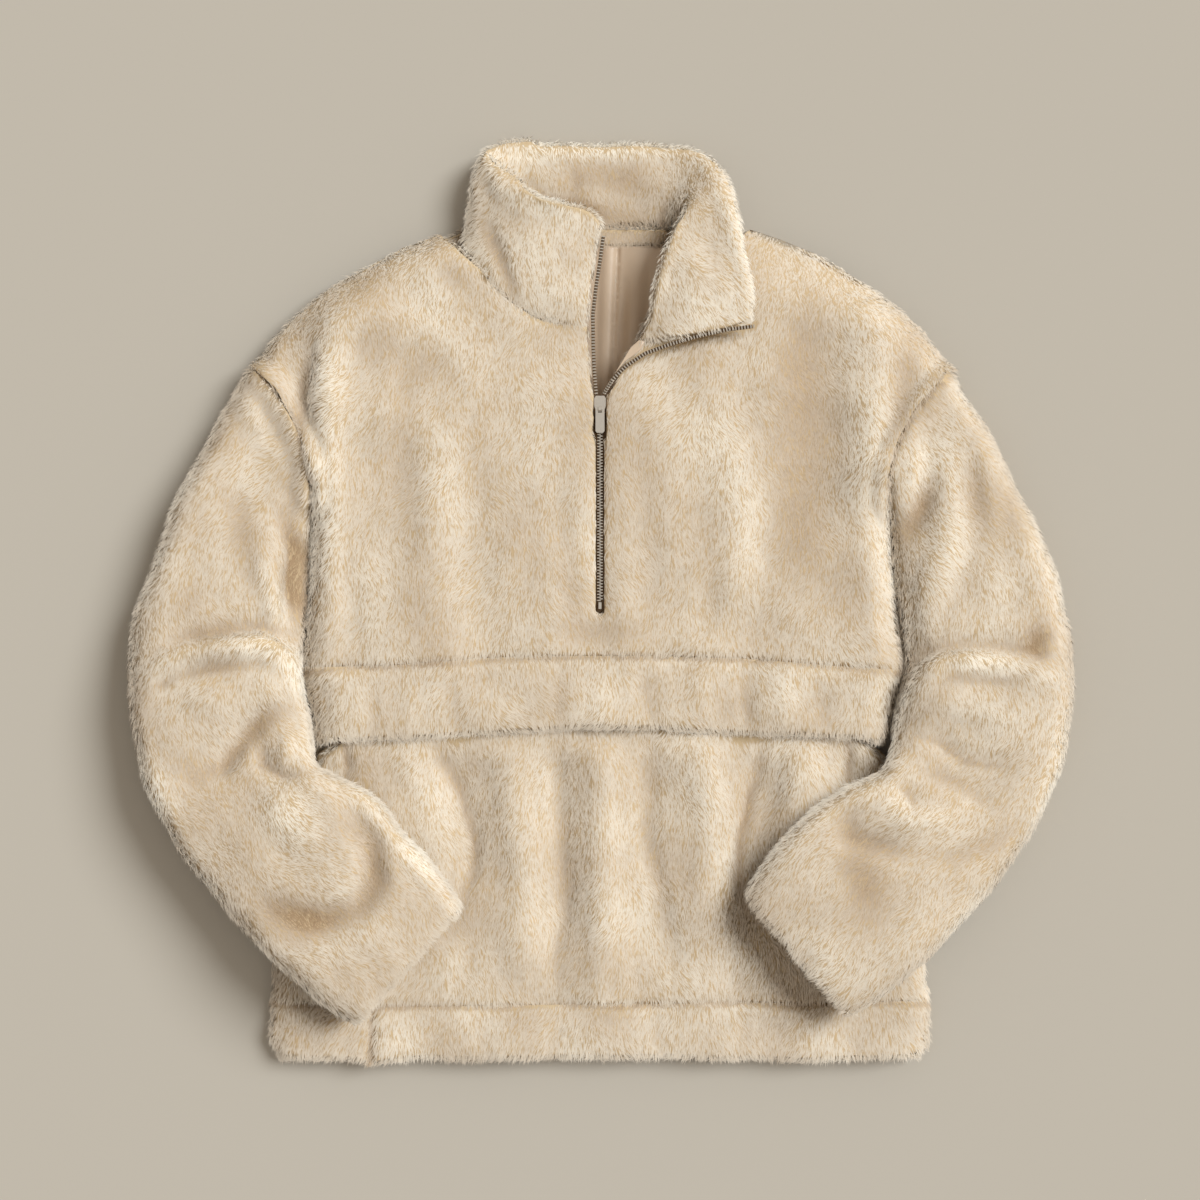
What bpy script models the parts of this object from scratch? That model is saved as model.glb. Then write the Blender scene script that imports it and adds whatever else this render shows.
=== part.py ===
"""Faux fur half-zip pullover, laid flat on its back: front up, forearms folded over the lower front.

Tables are in millimetres, +X to the viewer's right, +Y to the collar, +Z up from the floor.
Every cloth piece is a closed wall, worked out from its edges, its heights and its largest folds.
"""
from collections import namedtuple
from math import cos, pi, sin

import bpy
import numpy as np

MM = 0.001

# Cloth: fur fabric with its pile, and the gap that neighbouring pieces keep at a seam.
FUR = 9.0
BACK_FUR = 8.0
GAP = 0.3
SATIN = 1.2

# Height levels above the floor.
SEAM_Z = 19.0
CHEST_Z = 43.0
LOWER_TOP_Z = 28.0
LOWER_SEAM_Z = 12.4
TUCK_Z = 9.4
TUCK_TOP_Z = 27.0
TUCK_SEAM_Z = 17.8
BAND_LEAST_Z = 36.9
LOWER_LEAST_Z = 19.2
SEAM_EASE = 1.1
LOWER_EASE_Y = -170.0
HEM_TOP_Z = 27.2
ON_EDGE = 0.6
COURSE_SLACK = 1e-9
EDGE_RUN = [0.4, 0.7, 1.0, 1.6]
BAND_EDGE_RUN = [0.4, 0.7, 1.0, 1.8]
SIDE_SHARE = 0.55

# Chest and band: the dip round the neck and the droop of the band's folded edge.
NECK_DIP = 5.0
NECK_DIP_HALF = 150.0
NECK_DIP_Y = 172.0
NECK_DIP_RUN = 40.0
WAIST_Y = -40.0
BAND_DROOP = 4.0
BAND_DROOP_RUN = 16.0
HEM_ROLL_RUN = 14.0
HEM_BLEND_Y = -316.0
HEM_BLEND_RUN = 22.0
TUCK_FOOT_Y = -146.0
TUCK_HEAD_Y = -126.0
TUCK_FRONT_Y = (-130.0, -113.0)
SEAM_PLAY = 4.0

# Sleeves: rings of points, the armhole's bow, and how a forearm climbs on to the body.
RING_HALF = 9
ARMHOLE_BOW = 10.0
BOW_RIBS = 4
SIDE_RADIUS = 24.0
MIDDLE_DROP = 2.0
CLIMB_OUT = 34.0
CLIMB_RUN = 30.0
CLIMB_Y = -60.0
CLIMB_Y_RUN = 20.0
FOREARM_CLEAR = 4.6

# Zip: chain, slider, pull tab and bottom stop.
CHAIN_WIDTH = 5.0
CHAIN_HEIGHT = 3.4
CHAIN_Z = 33.3
TAPE_TOP_Z = 31.2
SLIT = 3.3
SLIDER_SLIT = 5.3
CHAIN_TOP_Y = 158.6
CHAIN_END_Y = -1.6
OPEN_CHAIN = 0.8
STOP_LENGTH = 6.0
TAPE_HALF = 11.0
TAPE_PAST = 12.0
TAPE_THICK = 0.8
SLIDER_TOP_Y = 172.6
SLIDER_LENGTH = 13.6
SLIDER_WIDTH = 9.8
SLIDER_HEIGHT = 5.0
PIN_Y = 161.6
PIN_RADIUS = 0.7
PIN_PLAY = 0.35
LUG_WIDTH = 2.6
LUG_STEPS = 12
LUG_SQUARE = 1.45
NOSE = 0.7
TAIL = 0.66
SHOULDER = 2.0
FLARE = 5.0
TAB_WIDTH = 7.6
TAB_LENGTH = 20.4
TAB_THICK = 1.4
TAB_RISE = 1.9
TAB_PLAY = 0.5
TAB_FORK = 3.4
TAB_HEAD = 1.2
TAB_CORNER = 1.2
TAB_CORNER_Y = 1.4
TAB_PIN = 0.8

SIDES = {"bottom": np.s_[0, :], "top": np.s_[-1, :], "left": np.s_[:, 0], "right": np.s_[:, -1]}

Fold = namedtuple("Fold", "x0 y0 x1 y1 bow width lift")
Rib = namedtuple("Rib", "outer_x outer_y inner_x inner_y crown")
Station = namedtuple("Station", "base_x base_y base_z top_x top_y top_z")
Colour = namedtuple("Colour", "red green blue roughness metallic")

CREAM_FUR = Colour(0.72, 0.60, 0.44, 0.95, 0.0)
TAN_FUR = Colour(0.60, 0.47, 0.31, 0.95, 0.0)
SATIN_BEIGE = Colour(0.47, 0.37, 0.28, 0.45, 0.0)
TAPE = Colour(0.36, 0.27, 0.19, 0.80, 0.0)
STEEL = Colour(0.62, 0.60, 0.58, 0.30, 1.0)

# Outlines, each from its first named end to its second.
SIDE_LEFT = [(-252, -57), (-248, -39), (-244, 14), (-243, 69), (-242, 94)]
SIDE_RIGHT = [(256, -59), (253, -34), (249, -3), (245, 47), (243, 92)]
ARMHOLE_LEFT = [(-242, 94), (-244, 112), (-255, 144), (-273, 178), (-297, 199)]
ARMHOLE_RIGHT = [(243, 92), (244, 117), (251, 138), (266, 163), (297, 199)]
SHOULDER_LEFT = [(-297, 199), (-263, 240), (-236, 264), (-195, 288), (-154, 308), (-130, 318)]
SHOULDER_RIGHT = [(297, 199), (276, 228), (251, 252), (227, 271), (194, 291), (159, 307), (125, 318)]
NECK_LEFT = [(-130, 318), (-125, 302), (-99, 277), (-76, 253.2), (-52, 238.4), (-11, 230.8)]
NECK_RIGHT = [(125, 318), (96, 313), (76, 302), (61, 287)]
NECK_BACK = [(-130, 318), (-60, 317), (0, 317), (60, 317), (125, 318)]
OPEN_EDGE_LEFT = [(-8, 187), (-9, 201), (-9.8, 216), (-11, 230)]
OPEN_EDGE_RIGHT = [(12, 180), (24, 208), (40, 242), (61, 287)]
SLIT_ROWS = [(0.0, -30), (0.0, -14), (1.0, -8.5), (1.0, 14), (1.0, 40), (1.0, 66), (1.0, 92), (1.0, 115),
             (1.0, 134)]
SLIDER_ROWS = [138, 155, 173]
BAND_SEAM = [(-252, -57), (-167, -54), (-102, -49), (-37, -47), (0, -47), (58, -47), (119, -49),
             (180, -54), (256, -59)]
BAND_EDGE = [(-241, -121), (-167, -119), (-97, -116), (-37, -111), (-6, -109), (28, -111),
             (93, -113), (159, -116), (243, -119)]
BAND_SIDE_LEFT = [(-241, -121), (-242, -90), (-252, -57)]
BAND_SIDE_RIGHT = [(243, -119), (246, -90), (256, -59)]
LOWER_SIDE_LEFT = [(-279, -338), (-279, -306), (-278, -272), (-270, -221), (-255, -170),
                   (-244, -141), (-240, -131), (-219, -115), (-219, -61)]
LOWER_SIDE_RIGHT = [(279, -340), (279, -306), (278, -272), (270, -221), (258, -170),
                    (247, -141), (242, -131), (222, -115), (222, -61)]
LOWER_TOP = [(-219, -61), (-102, -54), (0, -52), (119, -54), (222, -61)]
HEM_SEAM = [(-279, -338), (-230, -343), (-145, -345), (-51, -344), (34, -343), (119, -342),
            (195, -343), (279, -340)]
HEM_EDGE = [(-272, -391), (-180, -392.5), (-60, -391), (60, -391), (180, -392.5), (272, -391)]
HEM_SIDE_LEFT = [(-272, -391), (-278, -384), (-279, -338)]
HEM_SIDE_RIGHT = [(272, -391), (278, -384), (279, -340)]
HEM_JOIN_X = -194.0
HEM_LEVEL_Y = -360.0
HEM_WAVE = 0.3
HEM_WAVE_Y = -318.0
HEM_ROLL = 2.6
LOWER_FRONT_ROWS = [-326, -300, -262, -222, -184, -158, -146, -138, -131, -124, -115, -90]
LOWER_BACK_ROWS = [-300, -240, -184, -158, -146, -138, -131, -124, -115]

CHEST_FOLDS = [
    Fold(-228, 205, -230, 60, -4, 34, 8.0),
    Fold(-232, 60, -240, -45, 0, 30, 4.0),
    Fold(-226, 228, -160, 234, 8, 30, 5.0),
    Fold(-262, 214, -249, 120, 6, 24, -9.0),
    Fold(228, 236, 231, 108, 0, 34, 8.5),
    Fold(232, 110, 246, -45, -5, 28, 5.0),
    Fold(187, 228, 168, 70, 14, 42, -9.0),
    Fold(241, 184, 242, 120, 0, 18, -4.0),
    Fold(-170, 165, -140, -40, 8, 46, 4.5),
    Fold(-90, 40, -96, -50, 0, 30, -5.0),
    Fold(133, 40, 131, -52, 0, 26, -6.0),
    Fold(68, 10, 66, -50, 0, 24, -4.0),
    Fold(0, 240, 0, -80, 0, 22, -2.5),
]
BAND_FOLDS = [
    Fold(-96, -44, -99, -116, 0, 28, -4.0),
    Fold(131, -44, 128, -116, 0, 26, -5.0),
    Fold(66, -44, 62, -112, 0, 22, -3.0),
    Fold(-238, -52, -232, -110, 0, 28, 4.0),
    Fold(240, -54, 236, -110, 0, 26, 4.0),
    Fold(-60, -104, 60, -104, 4, 20, 2.5),
]
GATHERS = [
    Fold(-228, -118, -226, -172, 0, 24, -8.0),
    Fold(-168, -122, -166, -196, 0, 26, 4.0),
    Fold(-131, -116, -109, -232, 8, 24, -9.5),
    Fold(-70, -112, -64, -325, -4, 28, 5.0),
    Fold(-37, -110, -34, -318, 2, 22, -7.5),
    Fold(2, -110, 3, -328, 0, 26, 6.0),
    Fold(38, -122, 40, -305, 0, 22, -5.0),
    Fold(84, -112, 90, -326, 0, 28, 5.5),
    Fold(129, -116, 136, -262, 4, 24, -9.5),
    Fold(175, -122, 172, -210, 0, 26, 5.0),
    Fold(211, -118, 210, -180, 0, 22, -7.0),
]
LEFT_SLEEVE_FOLDS = [
    Fold(-287, 156, -247, 62, -10, 24, -8.0),
    Fold(-330, 120, -345, 20, 8, 34, 3.0),
    Fold(-372, -46, -258, -94, 40, 28, 9.0),
    Fold(-262, -92, -330, -140, 10, 24, -13.0),
    Fold(-250, -150, -200, -230, 18, 30, 5.0),
    Fold(-209, -182, -206, -246, 14, 20, -7.0),
    Fold(-330, -212, -262, -262, -10, 34, -5.0),
]
RIGHT_SLEEVE_FOLDS = [
    Fold(287, 148, 303, 92, 0, 24, -6.0),
    Fold(279, 90, 250, 48, 8, 22, -6.0),
    Fold(352, 80, 378, -10, 6, 36, 3.0),
    Fold(258, -120, 372, -52, 34, 30, 9.0),
    Fold(264, -112, 332, -148, 6, 22, -11.0),
    Fold(150, -206, 236, -158, 12, 28, 5.0),
    Fold(210, -186, 222, -220, 0, 22, -6.0),
    Fold(330, -210, 268, -256, 10, 36, -4.0),
]
LEFT_SLEEVE = [
    Rib(-298, 198, -244, 92, 43), Rib(-316, 169, -245, 77, 46), Rib(-330, 144, -246, 56, 48),
    Rib(-352, 101, -248.5, 28, 50), Rib(-373, 54, -250.5, 2, 50), Rib(-391, 10, -253, -26, 52),
    Rib(-400, -26, -256, -52, 55), Rib(-403, -62, -254.5, -74, 58), Rib(-400, -107, -249, -94, 60),
    Rib(-391, -143, -246, -112, 60), Rib(-376, -180, -243, -130, 60), Rib(-355, -215, -232, -141, 66),
    Rib(-328, -250, -212, -151, 70), Rib(-300, -282, -190, -166, 73), Rib(-272, -310, -172, -189, 75),
    Rib(-244, -333, -152, -213, 75), Rib(-222, -349, -131, -236, 73), Rib(-206, -359, -114, -256, 70),
]
RIGHT_SLEEVE = [
    Rib(297.6, 198.4, 243.4, 91.4, 43), Rib(314, 174, 246.5, 76, 46), Rib(330, 147, 248, 58, 48),
    Rib(349, 111, 250, 34, 50), Rib(368, 74, 253, 8, 50), Rib(386, 30, 257, -18, 52),
    Rib(398, -8, 260.5, -42, 55), Rib(404, -48, 260.5, -64, 58), Rib(403, -90, 256, -84, 60),
    Rib(395, -135, 250.5, -102, 60), Rib(381, -172, 248.5, -122, 60), Rib(361, -206, 240, -139, 66),
    Rib(336, -242, 220, -151, 70), Rib(308, -274, 196, -164, 73), Rib(281, -300, 172, -184, 75),
    Rib(252, -325, 150, -208, 75), Rib(228, -343, 132, -228, 73), Rib(209, -354, 118, -246, 70),
]
COLLAR = [
    Station(-12, 230.2, 35, -2.5, 321, 38), Station(-24, 231.7, 36, -15, 329, 41),
    Station(-44, 236.8, 37, -33, 336, 43), Station(-67, 246.6, 37, -52, 340.5, 43),
    Station(-86, 262.6, 36, -69, 350, 41), Station(-100, 280.2, 33, -83, 364, 37),
    Station(-112, 299, 27, -94, 379, 29), Station(-116, 309, 19, -97, 386, 20),
    Station(-108, 320.5, 11.5, -88, 390, 12), Station(-88, 321.5, 7.6, -70, 391.5, 7.6),
    Station(-60, 321.5, 7.4, -45, 391, 7.4), Station(-28, 321.5, 7.4, -12, 391, 7.4),
    Station(6, 321.5, 7.4, 20, 391, 7.4), Station(36, 321.5, 8.5, 48, 392, 7.6),
    Station(58, 322.5, 13, 72, 390.5, 10), Station(68, 328, 21, 92, 383, 17),
    Station(72, 333, 31, 106, 371, 26), Station(69, 327, 41, 114, 352, 36),
    Station(62, 312, 48.5, 117, 327, 48), Station(54, 290, 51, 121, 304, 52.5),
    Station(47, 268, 51, 126, 280, 53.5), Station(40, 246, 50, 131, 258, 53.5),
    Station(36, 226, 49.5, 127, 238, 53),
]
FACING = [(-36, 302.4), (60, 302.4), (60, 315.6), (-36, 315.6)]
FACING_THICK = 5.0
LINING = [(-30, 140), (66, 140), (60, 302.1), (-36, 302.1)]
PLACKET = [(11.6, 189.4), (21, 200.9), (34, 210.4), (38, 218), (33, 219), (26, 213)]
PLACKET_LOW = 42.4
PLACKET_HIGH = 43.8
COLLAR_THICK = 13.6
COLLAR_RING = 10
COLLAR_RIM_POWER = 0.55
COLLAR_SIDE_POWER = 0.6
ZIP_LEFT = [(-3.0, 173.6, 33), (-4.6, 192, 33.5), (-5.6, 212, 34), (-6, 241, 36), (-3.4, 264, 38),
            (0.6, 290, 39), (3, 308, 39)]
ZIP_RIGHT = [(3.3, 174.3, 34), (6.4, 179.4, 38.5), (11, 186, 44.5), (22, 197, 46), (38, 207.5, 47),
             (59, 215, 48.5), (80, 221, 50), (106, 227, 51.5), (130, 230, 52)]


def material(name, colour):
    """A Principled material of one colour."""
    made = bpy.data.materials.new(name)
    made.use_nodes = True
    shader = made.node_tree.nodes["Principled BSDF"]
    shader.inputs["Base Color"].default_value = (colour.red, colour.green, colour.blue, 1.0)
    shader.inputs["Roughness"].default_value = colour.roughness
    shader.inputs["Metallic"].default_value = colour.metallic
    return made


def finish(name, vertices, faces, colour, smooth=True):
    """Add a mesh, given in millimetres, as one named object with its own material."""
    mesh = bpy.data.meshes.new(name)
    mesh.from_pydata([tuple(np.asarray(v) * MM) for v in vertices], [], faces)
    mesh.validate()
    mesh.polygons.foreach_set("use_smooth", [smooth] * len(mesh.polygons))
    mesh.materials.append(material(name, colour))
    made = bpy.data.objects.new(name, mesh)
    bpy.context.collection.objects.link(made)
    return made


def along(points, share):
    """The point at a share of the length of a smooth course through the given points."""
    points = np.asarray(points, dtype=float)
    steps = np.linalg.norm(np.diff(points[:, :2], axis=0), axis=1)
    marks = np.concatenate([[0.0], np.cumsum(steps)]) / steps.sum()
    slopes = np.gradient(points, marks, axis=0)
    i = min(int(np.searchsorted(marks, share, side="right")) - 1, len(marks) - 2)
    span = marks[i + 1] - marks[i]
    t = (share - marks[i]) / span
    return ((2 * t ** 3 - 3 * t ** 2 + 1) * points[i] + (t ** 3 - 2 * t ** 2 + t) * span * slopes[i]
            + (3 * t ** 2 - 2 * t ** 3) * points[i + 1] + (t ** 3 - t ** 2) * span * slopes[i + 1])


def course(legs, shares):
    """Points at the given shares of a side made of legs, each leg a (points, share of the side)."""
    made = []
    for share in shares:
        start = 0.0
        for points, length in legs:
            if share <= start + length + COURSE_SLACK or points is legs[-1][0]:
                made.append(along(points, min(1.0, max(0.0, (share - start) / length))))
                break
            start += length
    return np.array(made)


def patch(bottom, top, left, right):
    """Fill four boundary courses with a grid of points, rows running from left to right."""
    rows, columns = len(left), len(bottom)
    u = np.linspace(0, 1, columns)
    v = np.linspace(0, 1, rows)
    for line, ends in ((u, (bottom, top)), (v, (left, right))):
        lengths = [np.concatenate([[0.0], np.cumsum(np.linalg.norm(np.diff(e, axis=0), axis=1))])
                   for e in ends]
        line[:] = sum(length / length[-1] for length in lengths) / 2
    u, v = u[None, :, None], v[:, None, None]
    ruled = ((1 - v) * bottom[None] + v * top[None] + (1 - u) * left[:, None] + u * right[:, None])
    corners = ((1 - u) * (1 - v) * bottom[0] + u * (1 - v) * bottom[-1]
               + (1 - u) * v * top[0] + u * v * top[-1])
    return ruled - corners


def fold_height(x, y, folds):
    """Sum of the soft ridges (positive lift) and troughs (negative lift) at a point."""
    total = 0.0
    for fold in folds:
        dx, dy = fold.x1 - fold.x0, fold.y1 - fold.y0
        length = (dx * dx + dy * dy) ** 0.5
        t = ((x - fold.x0) * dx + (y - fold.y0) * dy) / length ** 2
        inside = min(1.0, max(0.0, t))
        across = ((x - fold.x0) * dy - (y - fold.y0) * dx) / length + fold.bow * 4 * inside * (1 - inside)
        beyond = (t - inside) * length
        far = (across ** 2 + beyond ** 2) / fold.width ** 2
        if far < 1.0:
            total += fold.lift * (1 - far) ** 2
    return total


def edge_distance(x, y, edges):
    """Distance in plan from a point to the nearest of several open polylines."""
    best = 1e9
    point = np.array([x, y])
    for edge in edges:
        for a, b in zip(edge[:-1], edge[1:]):
            a, b = np.asarray(a, float), np.asarray(b, float)
            t = np.clip(np.dot(point - a, b - a) / np.dot(b - a, b - a), 0, 1)
            best = min(best, float(np.linalg.norm(point - a - t * (b - a))))
    return best


def rounding(distance, radius):
    """Share of the full height at a distance from a rolled edge."""
    t = min(1.0, max(0.0, distance / radius))
    return (1 - (1 - t) ** 2) ** 0.5


def horizontal_normals(row):
    """Unit vectors in plan, square to a row of points."""
    tangents = np.gradient(row[:, :2], axis=0)
    normals = np.stack([-tangents[:, 1], tangents[:, 0]], axis=1)
    return normals / np.linalg.norm(normals, axis=1)[:, None]


def grid_normals(grid, around=False):
    """Unit normals of a grid of points; around is true where its columns close on themselves."""
    if around:
        du = np.roll(grid, -1, axis=1) - np.roll(grid, 1, axis=1)
    else:
        du = np.gradient(grid, axis=1)
    dv = np.gradient(grid, axis=0)
    normals = np.cross(du, dv)
    return normals / np.linalg.norm(normals, axis=2)[:, :, None]


def keep_in_seam(normals, grid, index):
    """Turn the normals on one side of a grid into the upright surface of its seam."""
    square = horizontal_normals(grid[index])
    kept = normals[index].copy()
    kept[:, :2] -= square * np.sum(kept[:, :2] * square, axis=1)[:, None]
    normals[index] = kept / np.maximum(np.linalg.norm(kept, axis=1), 1e-6)[:, None]


def lie_flat(normals, grid, closed, toward):
    """Turn the normals of closed edge points outward and level, away from the panel's middle."""
    for i, j in zip(*np.nonzero(closed)):
        flat = normals[i, j].copy()
        flat[2] = 0.0
        if np.linalg.norm(flat) < 1e-6:
            flat[:2] = grid[i, j, :2] - toward
        normals[i, j] = flat / np.linalg.norm(flat)


def wall(name, grids, colour):
    """A closed wall from grids of (outer points, inner points), joined where outer points meet."""
    vertices, inward, index, faces = [], [], {}, []
    for points, inner in grids:
        ids = np.zeros(points.shape[:2], int)
        for i in range(points.shape[0]):
            for j in range(points.shape[1]):
                key = tuple(np.round(points[i, j], 3))
                if key not in index:
                    index[key] = len(vertices)
                    vertices.append(points[i, j])
                    inward.append(inner[i, j])
                ids[i, j] = index[key]
        for i in range(points.shape[0] - 1):
            for j in range(points.shape[1] - 1):
                faces.append((ids[i, j], ids[i, j + 1], ids[i + 1, j + 1], ids[i + 1, j]))
    close_wall(name, vertices, inward, faces, colour)


def close_wall(name, vertices, inward, faces, colour):
    """Join an outer skin to its inner skin along every open edge."""
    count = len(vertices)
    edges = {(a, b) for face in faces for a, b in zip(face, face[1:] + face[:1])}
    rims = [(b, a, a + count, b + count) for a, b in edges if (b, a) not in edges]
    inner = [tuple(i + count for i in reversed(face)) for face in faces]
    finish(name, list(vertices) + list(inward), list(faces) + inner + sorted(rims), colour)


def spaced(parts):
    """Shares from 0 to 1 for a list of step sizes."""
    marks = np.concatenate([[0.0], np.cumsum(parts)])
    return marks / marks[-1]


def shifted(points, gap):
    """Move a seam line up (positive) or down by a gap."""
    return [(x, y + gap) for x, y in points]


def panel_grid(bottom, top, left, right, height, seam_z, edges, thickness=FUR, flip=False):
    """Outer and inner points of one panel.

    The four sides are courses of points. height(x, y) gives the outer skin's level, edges the rolled
    edges where it comes down (or up, on a back panel) to seam_z, and flip is true for a back panel,
    whose outer skin faces the floor.
    """
    plan = patch(bottom, top, left, right)
    grid = np.zeros(plan.shape[:2] + (3,))
    grid[:, :, :2] = plan
    closed = np.zeros(plan.shape[:2], bool)
    seams = np.zeros(plan.shape[:2])
    for i in range(plan.shape[0]):
        for j in range(plan.shape[1]):
            x, y = plan[i, j]
            near = edge_distance(x, y, edges)
            closed[i, j] = near < ON_EDGE
            seams[i, j] = seam_z(x, y) + (-GAP / 2 if flip else GAP / 2)
            rise = height(x, y) - seams[i, j]
            share = 0.0 if closed[i, j] else rounding(near, abs(rise))
            grid[i, j, 2] = seams[i, j] + rise * share
    normals = grid_normals(grid)
    normals *= np.sign(normals[:, :, 2:] + 1e-9)
    lie_flat(normals, grid, closed, plan.reshape(-1, 2).mean(axis=0))
    for side, index in SIDES.items():
        if closed[index].all():
            continue
        seam_normals = normals.copy()
        keep_in_seam(seam_normals, grid, index)
        change = np.ones(len(closed[index]), bool) if closed[index].mean() < 0.25 else ~closed[index]
        picked = normals[index]
        picked[change] = seam_normals[index][change]
        normals[index] = picked
    if flip:
        normals = -normals
    inner = grid - thickness * normals
    inner[:, :, 2] = np.minimum(inner[:, :, 2], seams) if flip else np.maximum(inner[:, :, 2], seams)
    return (grid[:, ::-1], inner[:, ::-1]) if flip else (grid, inner)


def level(z):
    """A constant height."""
    return lambda x, y: z


def rows_at(side, levels):
    """Points of an upright side at the given Y levels."""
    side = sorted(side, key=lambda point: point[1])
    return np.array([(np.interp(y, [p[1] for p in side], [p[0] for p in side]), y) for y in levels])


def chest_height(x, y):
    """Outer skin of the chest panel, a little lower round the neck."""
    beside = max(0.0, 1 - abs(x) / NECK_DIP_HALF)
    neck = beside * max(0.0, min(1.0, (y - NECK_DIP_Y) / NECK_DIP_RUN)) * NECK_DIP
    free = CHEST_Z - neck + fold_height(x, y, CHEST_FOLDS)
    return max(free, BAND_LEAST_Z) if y < WAIST_Y else free


def band_height(x, y):
    """Outer skin of the upper band, drooping to its folded lower edge."""
    low = edge_distance(x, y, [BAND_EDGE])
    droop = BAND_DROOP * max(0.0, 1 - low / BAND_DROOP_RUN) ** 2
    free = CHEST_Z + fold_height(x, y, CHEST_FOLDS + BAND_FOLDS)
    return max(free, BAND_LEAST_Z + BAND_DROOP) - droop


def build_upper_front():
    """Chest panel: one piece, slit down the middle for the zip."""
    u = spaced([0.4, 0.7, 1.0, 1.5, 2.2, 2.4, 2.4, 2.4, 2.4, 2.4, 2.2, 2.2, 2.0, 1.6])
    v = np.array([0, 0.06, 0.11, 0.13, 0.20, 0.28, 0.36, 0.44, 0.51, 0.57, 0.59, 0.65, 0.71, 0.78,
                  0.85, 0.92, 0.965, 1.0])
    seam = shifted(BAND_SEAM, GAP / 2)
    middle = next(i for i, (x, _) in enumerate(seam) if x == 0)
    edges = [SIDE_LEFT, SIDE_RIGHT, SHOULDER_LEFT, SHOULDER_RIGHT]
    grids = []
    for sign, side, hole, shoulder, neck, neck_at, opening, half in (
            (-1, SIDE_LEFT, ARMHOLE_LEFT, SHOULDER_LEFT, NECK_LEFT, 0.52, OPEN_EDGE_LEFT,
             seam[:middle + 1]),
            (1, SIDE_RIGHT, ARMHOLE_RIGHT, SHOULDER_RIGHT, NECK_RIGHT, 0.7, OPEN_EDGE_RIGHT,
             seam[middle:][::-1])):
        centre = [half[-1]] + [(sign * SLIT * share, y) for share, y in SLIT_ROWS]
        centre += [(sign * SLIDER_SLIT, y) for y in SLIDER_ROWS] + opening
        sides = [course([(half, 1.0)], u), course([(shoulder, neck_at), (neck, 1 - neck_at)], u),
                 course([([half[0]] + side[1:], SIDE_SHARE), (hole, 1 - SIDE_SHARE)],
                        v[:len(centre)] / v[len(centre) - 1]),
                 np.array(centre, float)]
        if sign > 0:
            sides = [sides[0][::-1], sides[1][::-1], sides[3], sides[2]]
        grids.append(panel_grid(*sides, chest_height, level(SEAM_Z), edges))
    wall("upper_front", grids, CREAM_FUR)


def build_upper_back():
    """Back panel behind the chest, flat on the floor."""
    u = spaced(EDGE_RUN + [2.4] * 8 + EDGE_RUN[::-1])
    v = spaced([2.4, 2.4, 2.4, 2.4, 2.2, 1.8, 1.2, 0.8, 0.5])
    seam = shifted(BAND_SEAM, GAP / 2)
    top = [(SHOULDER_LEFT, 0.3), (NECK_BACK, 0.4), (SHOULDER_RIGHT[::-1], 0.3)]
    edges = [SIDE_LEFT, SIDE_RIGHT, SHOULDER_LEFT, SHOULDER_RIGHT]
    left = course([([seam[0]] + SIDE_LEFT[1:], SIDE_SHARE), (ARMHOLE_LEFT, 1 - SIDE_SHARE)], v)
    right = course([([seam[-1]] + SIDE_RIGHT[1:], SIDE_SHARE), (ARMHOLE_RIGHT, 1 - SIDE_SHARE)], v)
    wall("upper_back", [panel_grid(course([(seam, 1.0)], u), course(top, u), left, right, level(0.0),
                                   level(SEAM_Z), edges, flip=True)], CREAM_FUR)


def build_upper_bands():
    """Bands round the cropped upper layer, front and back."""
    seam = shifted(BAND_SEAM, -GAP / 2)
    left = BAND_SIDE_LEFT[:-1] + [seam[0]]
    right = BAND_SIDE_RIGHT[:-1] + [seam[-1]]
    edges = [left, right]
    for name, middle, rows, height, flip in (
            ("upper_band_front", 16, [1.0, 1.6, 2.4, 2.4], band_height, False),
            ("upper_band_back", 6, [1.0, 1.0, 1.0], level(0.0), True)):
        u = spaced(BAND_EDGE_RUN + [2.4] * middle + BAND_EDGE_RUN[::-1])
        v = spaced(rows)
        wall(name, [panel_grid(course([(BAND_EDGE, 1.0)], u), course([(seam, 1.0)], u),
                               course([(left, 1.0)], v), course([(right, 1.0)], v), height,
                               level(SEAM_Z), edges, flip=flip)], CREAM_FUR)


def tuck(y, start=TUCK_FOOT_Y, end=TUCK_HEAD_Y):
    """Share, from 0 to 1, by which the lower layer is tucked up inside the band."""
    t = min(1.0, max(0.0, (y - start) / (end - start)))
    return t * t * (3 - 2 * t)


def lower_seam(ease):
    """Level of the lower layer's side seams, eased apart where they climb under the band."""
    def seam_level(_, y):
        return LOWER_SEAM_Z + ease * (1 if y > LOWER_EASE_Y else 0) + (TUCK_SEAM_Z - LOWER_SEAM_Z) * tuck(y)
    return seam_level


def lower_height(x, y):
    """Outer skin of the gathered lower front."""
    free = LOWER_TOP_Z + fold_height(x, y, GATHERS)
    hem = max(0.0, min(1.0, (HEM_BLEND_Y - y) / HEM_BLEND_RUN))
    free = free * (1 - hem) + hem_height(x, HEM_LEVEL_Y) * hem
    free = free + (TUCK_TOP_Z - free) * tuck(y, *TUCK_FRONT_Y)
    return max(free, LOWER_LEAST_Z + (TUCK_TOP_Z - LOWER_LEAST_Z) * tuck(y))


def hem_height(x, y):
    """Outer skin of the hem band, rolling down at its folded lower edge."""
    low = edge_distance(x, y, [HEM_EDGE])
    wave = HEM_WAVE * fold_height(x, HEM_WAVE_Y, GATHERS)
    return HEM_TOP_Z + wave - HEM_ROLL * max(0.0, 1 - low / HEM_ROLL_RUN) ** 2


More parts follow.
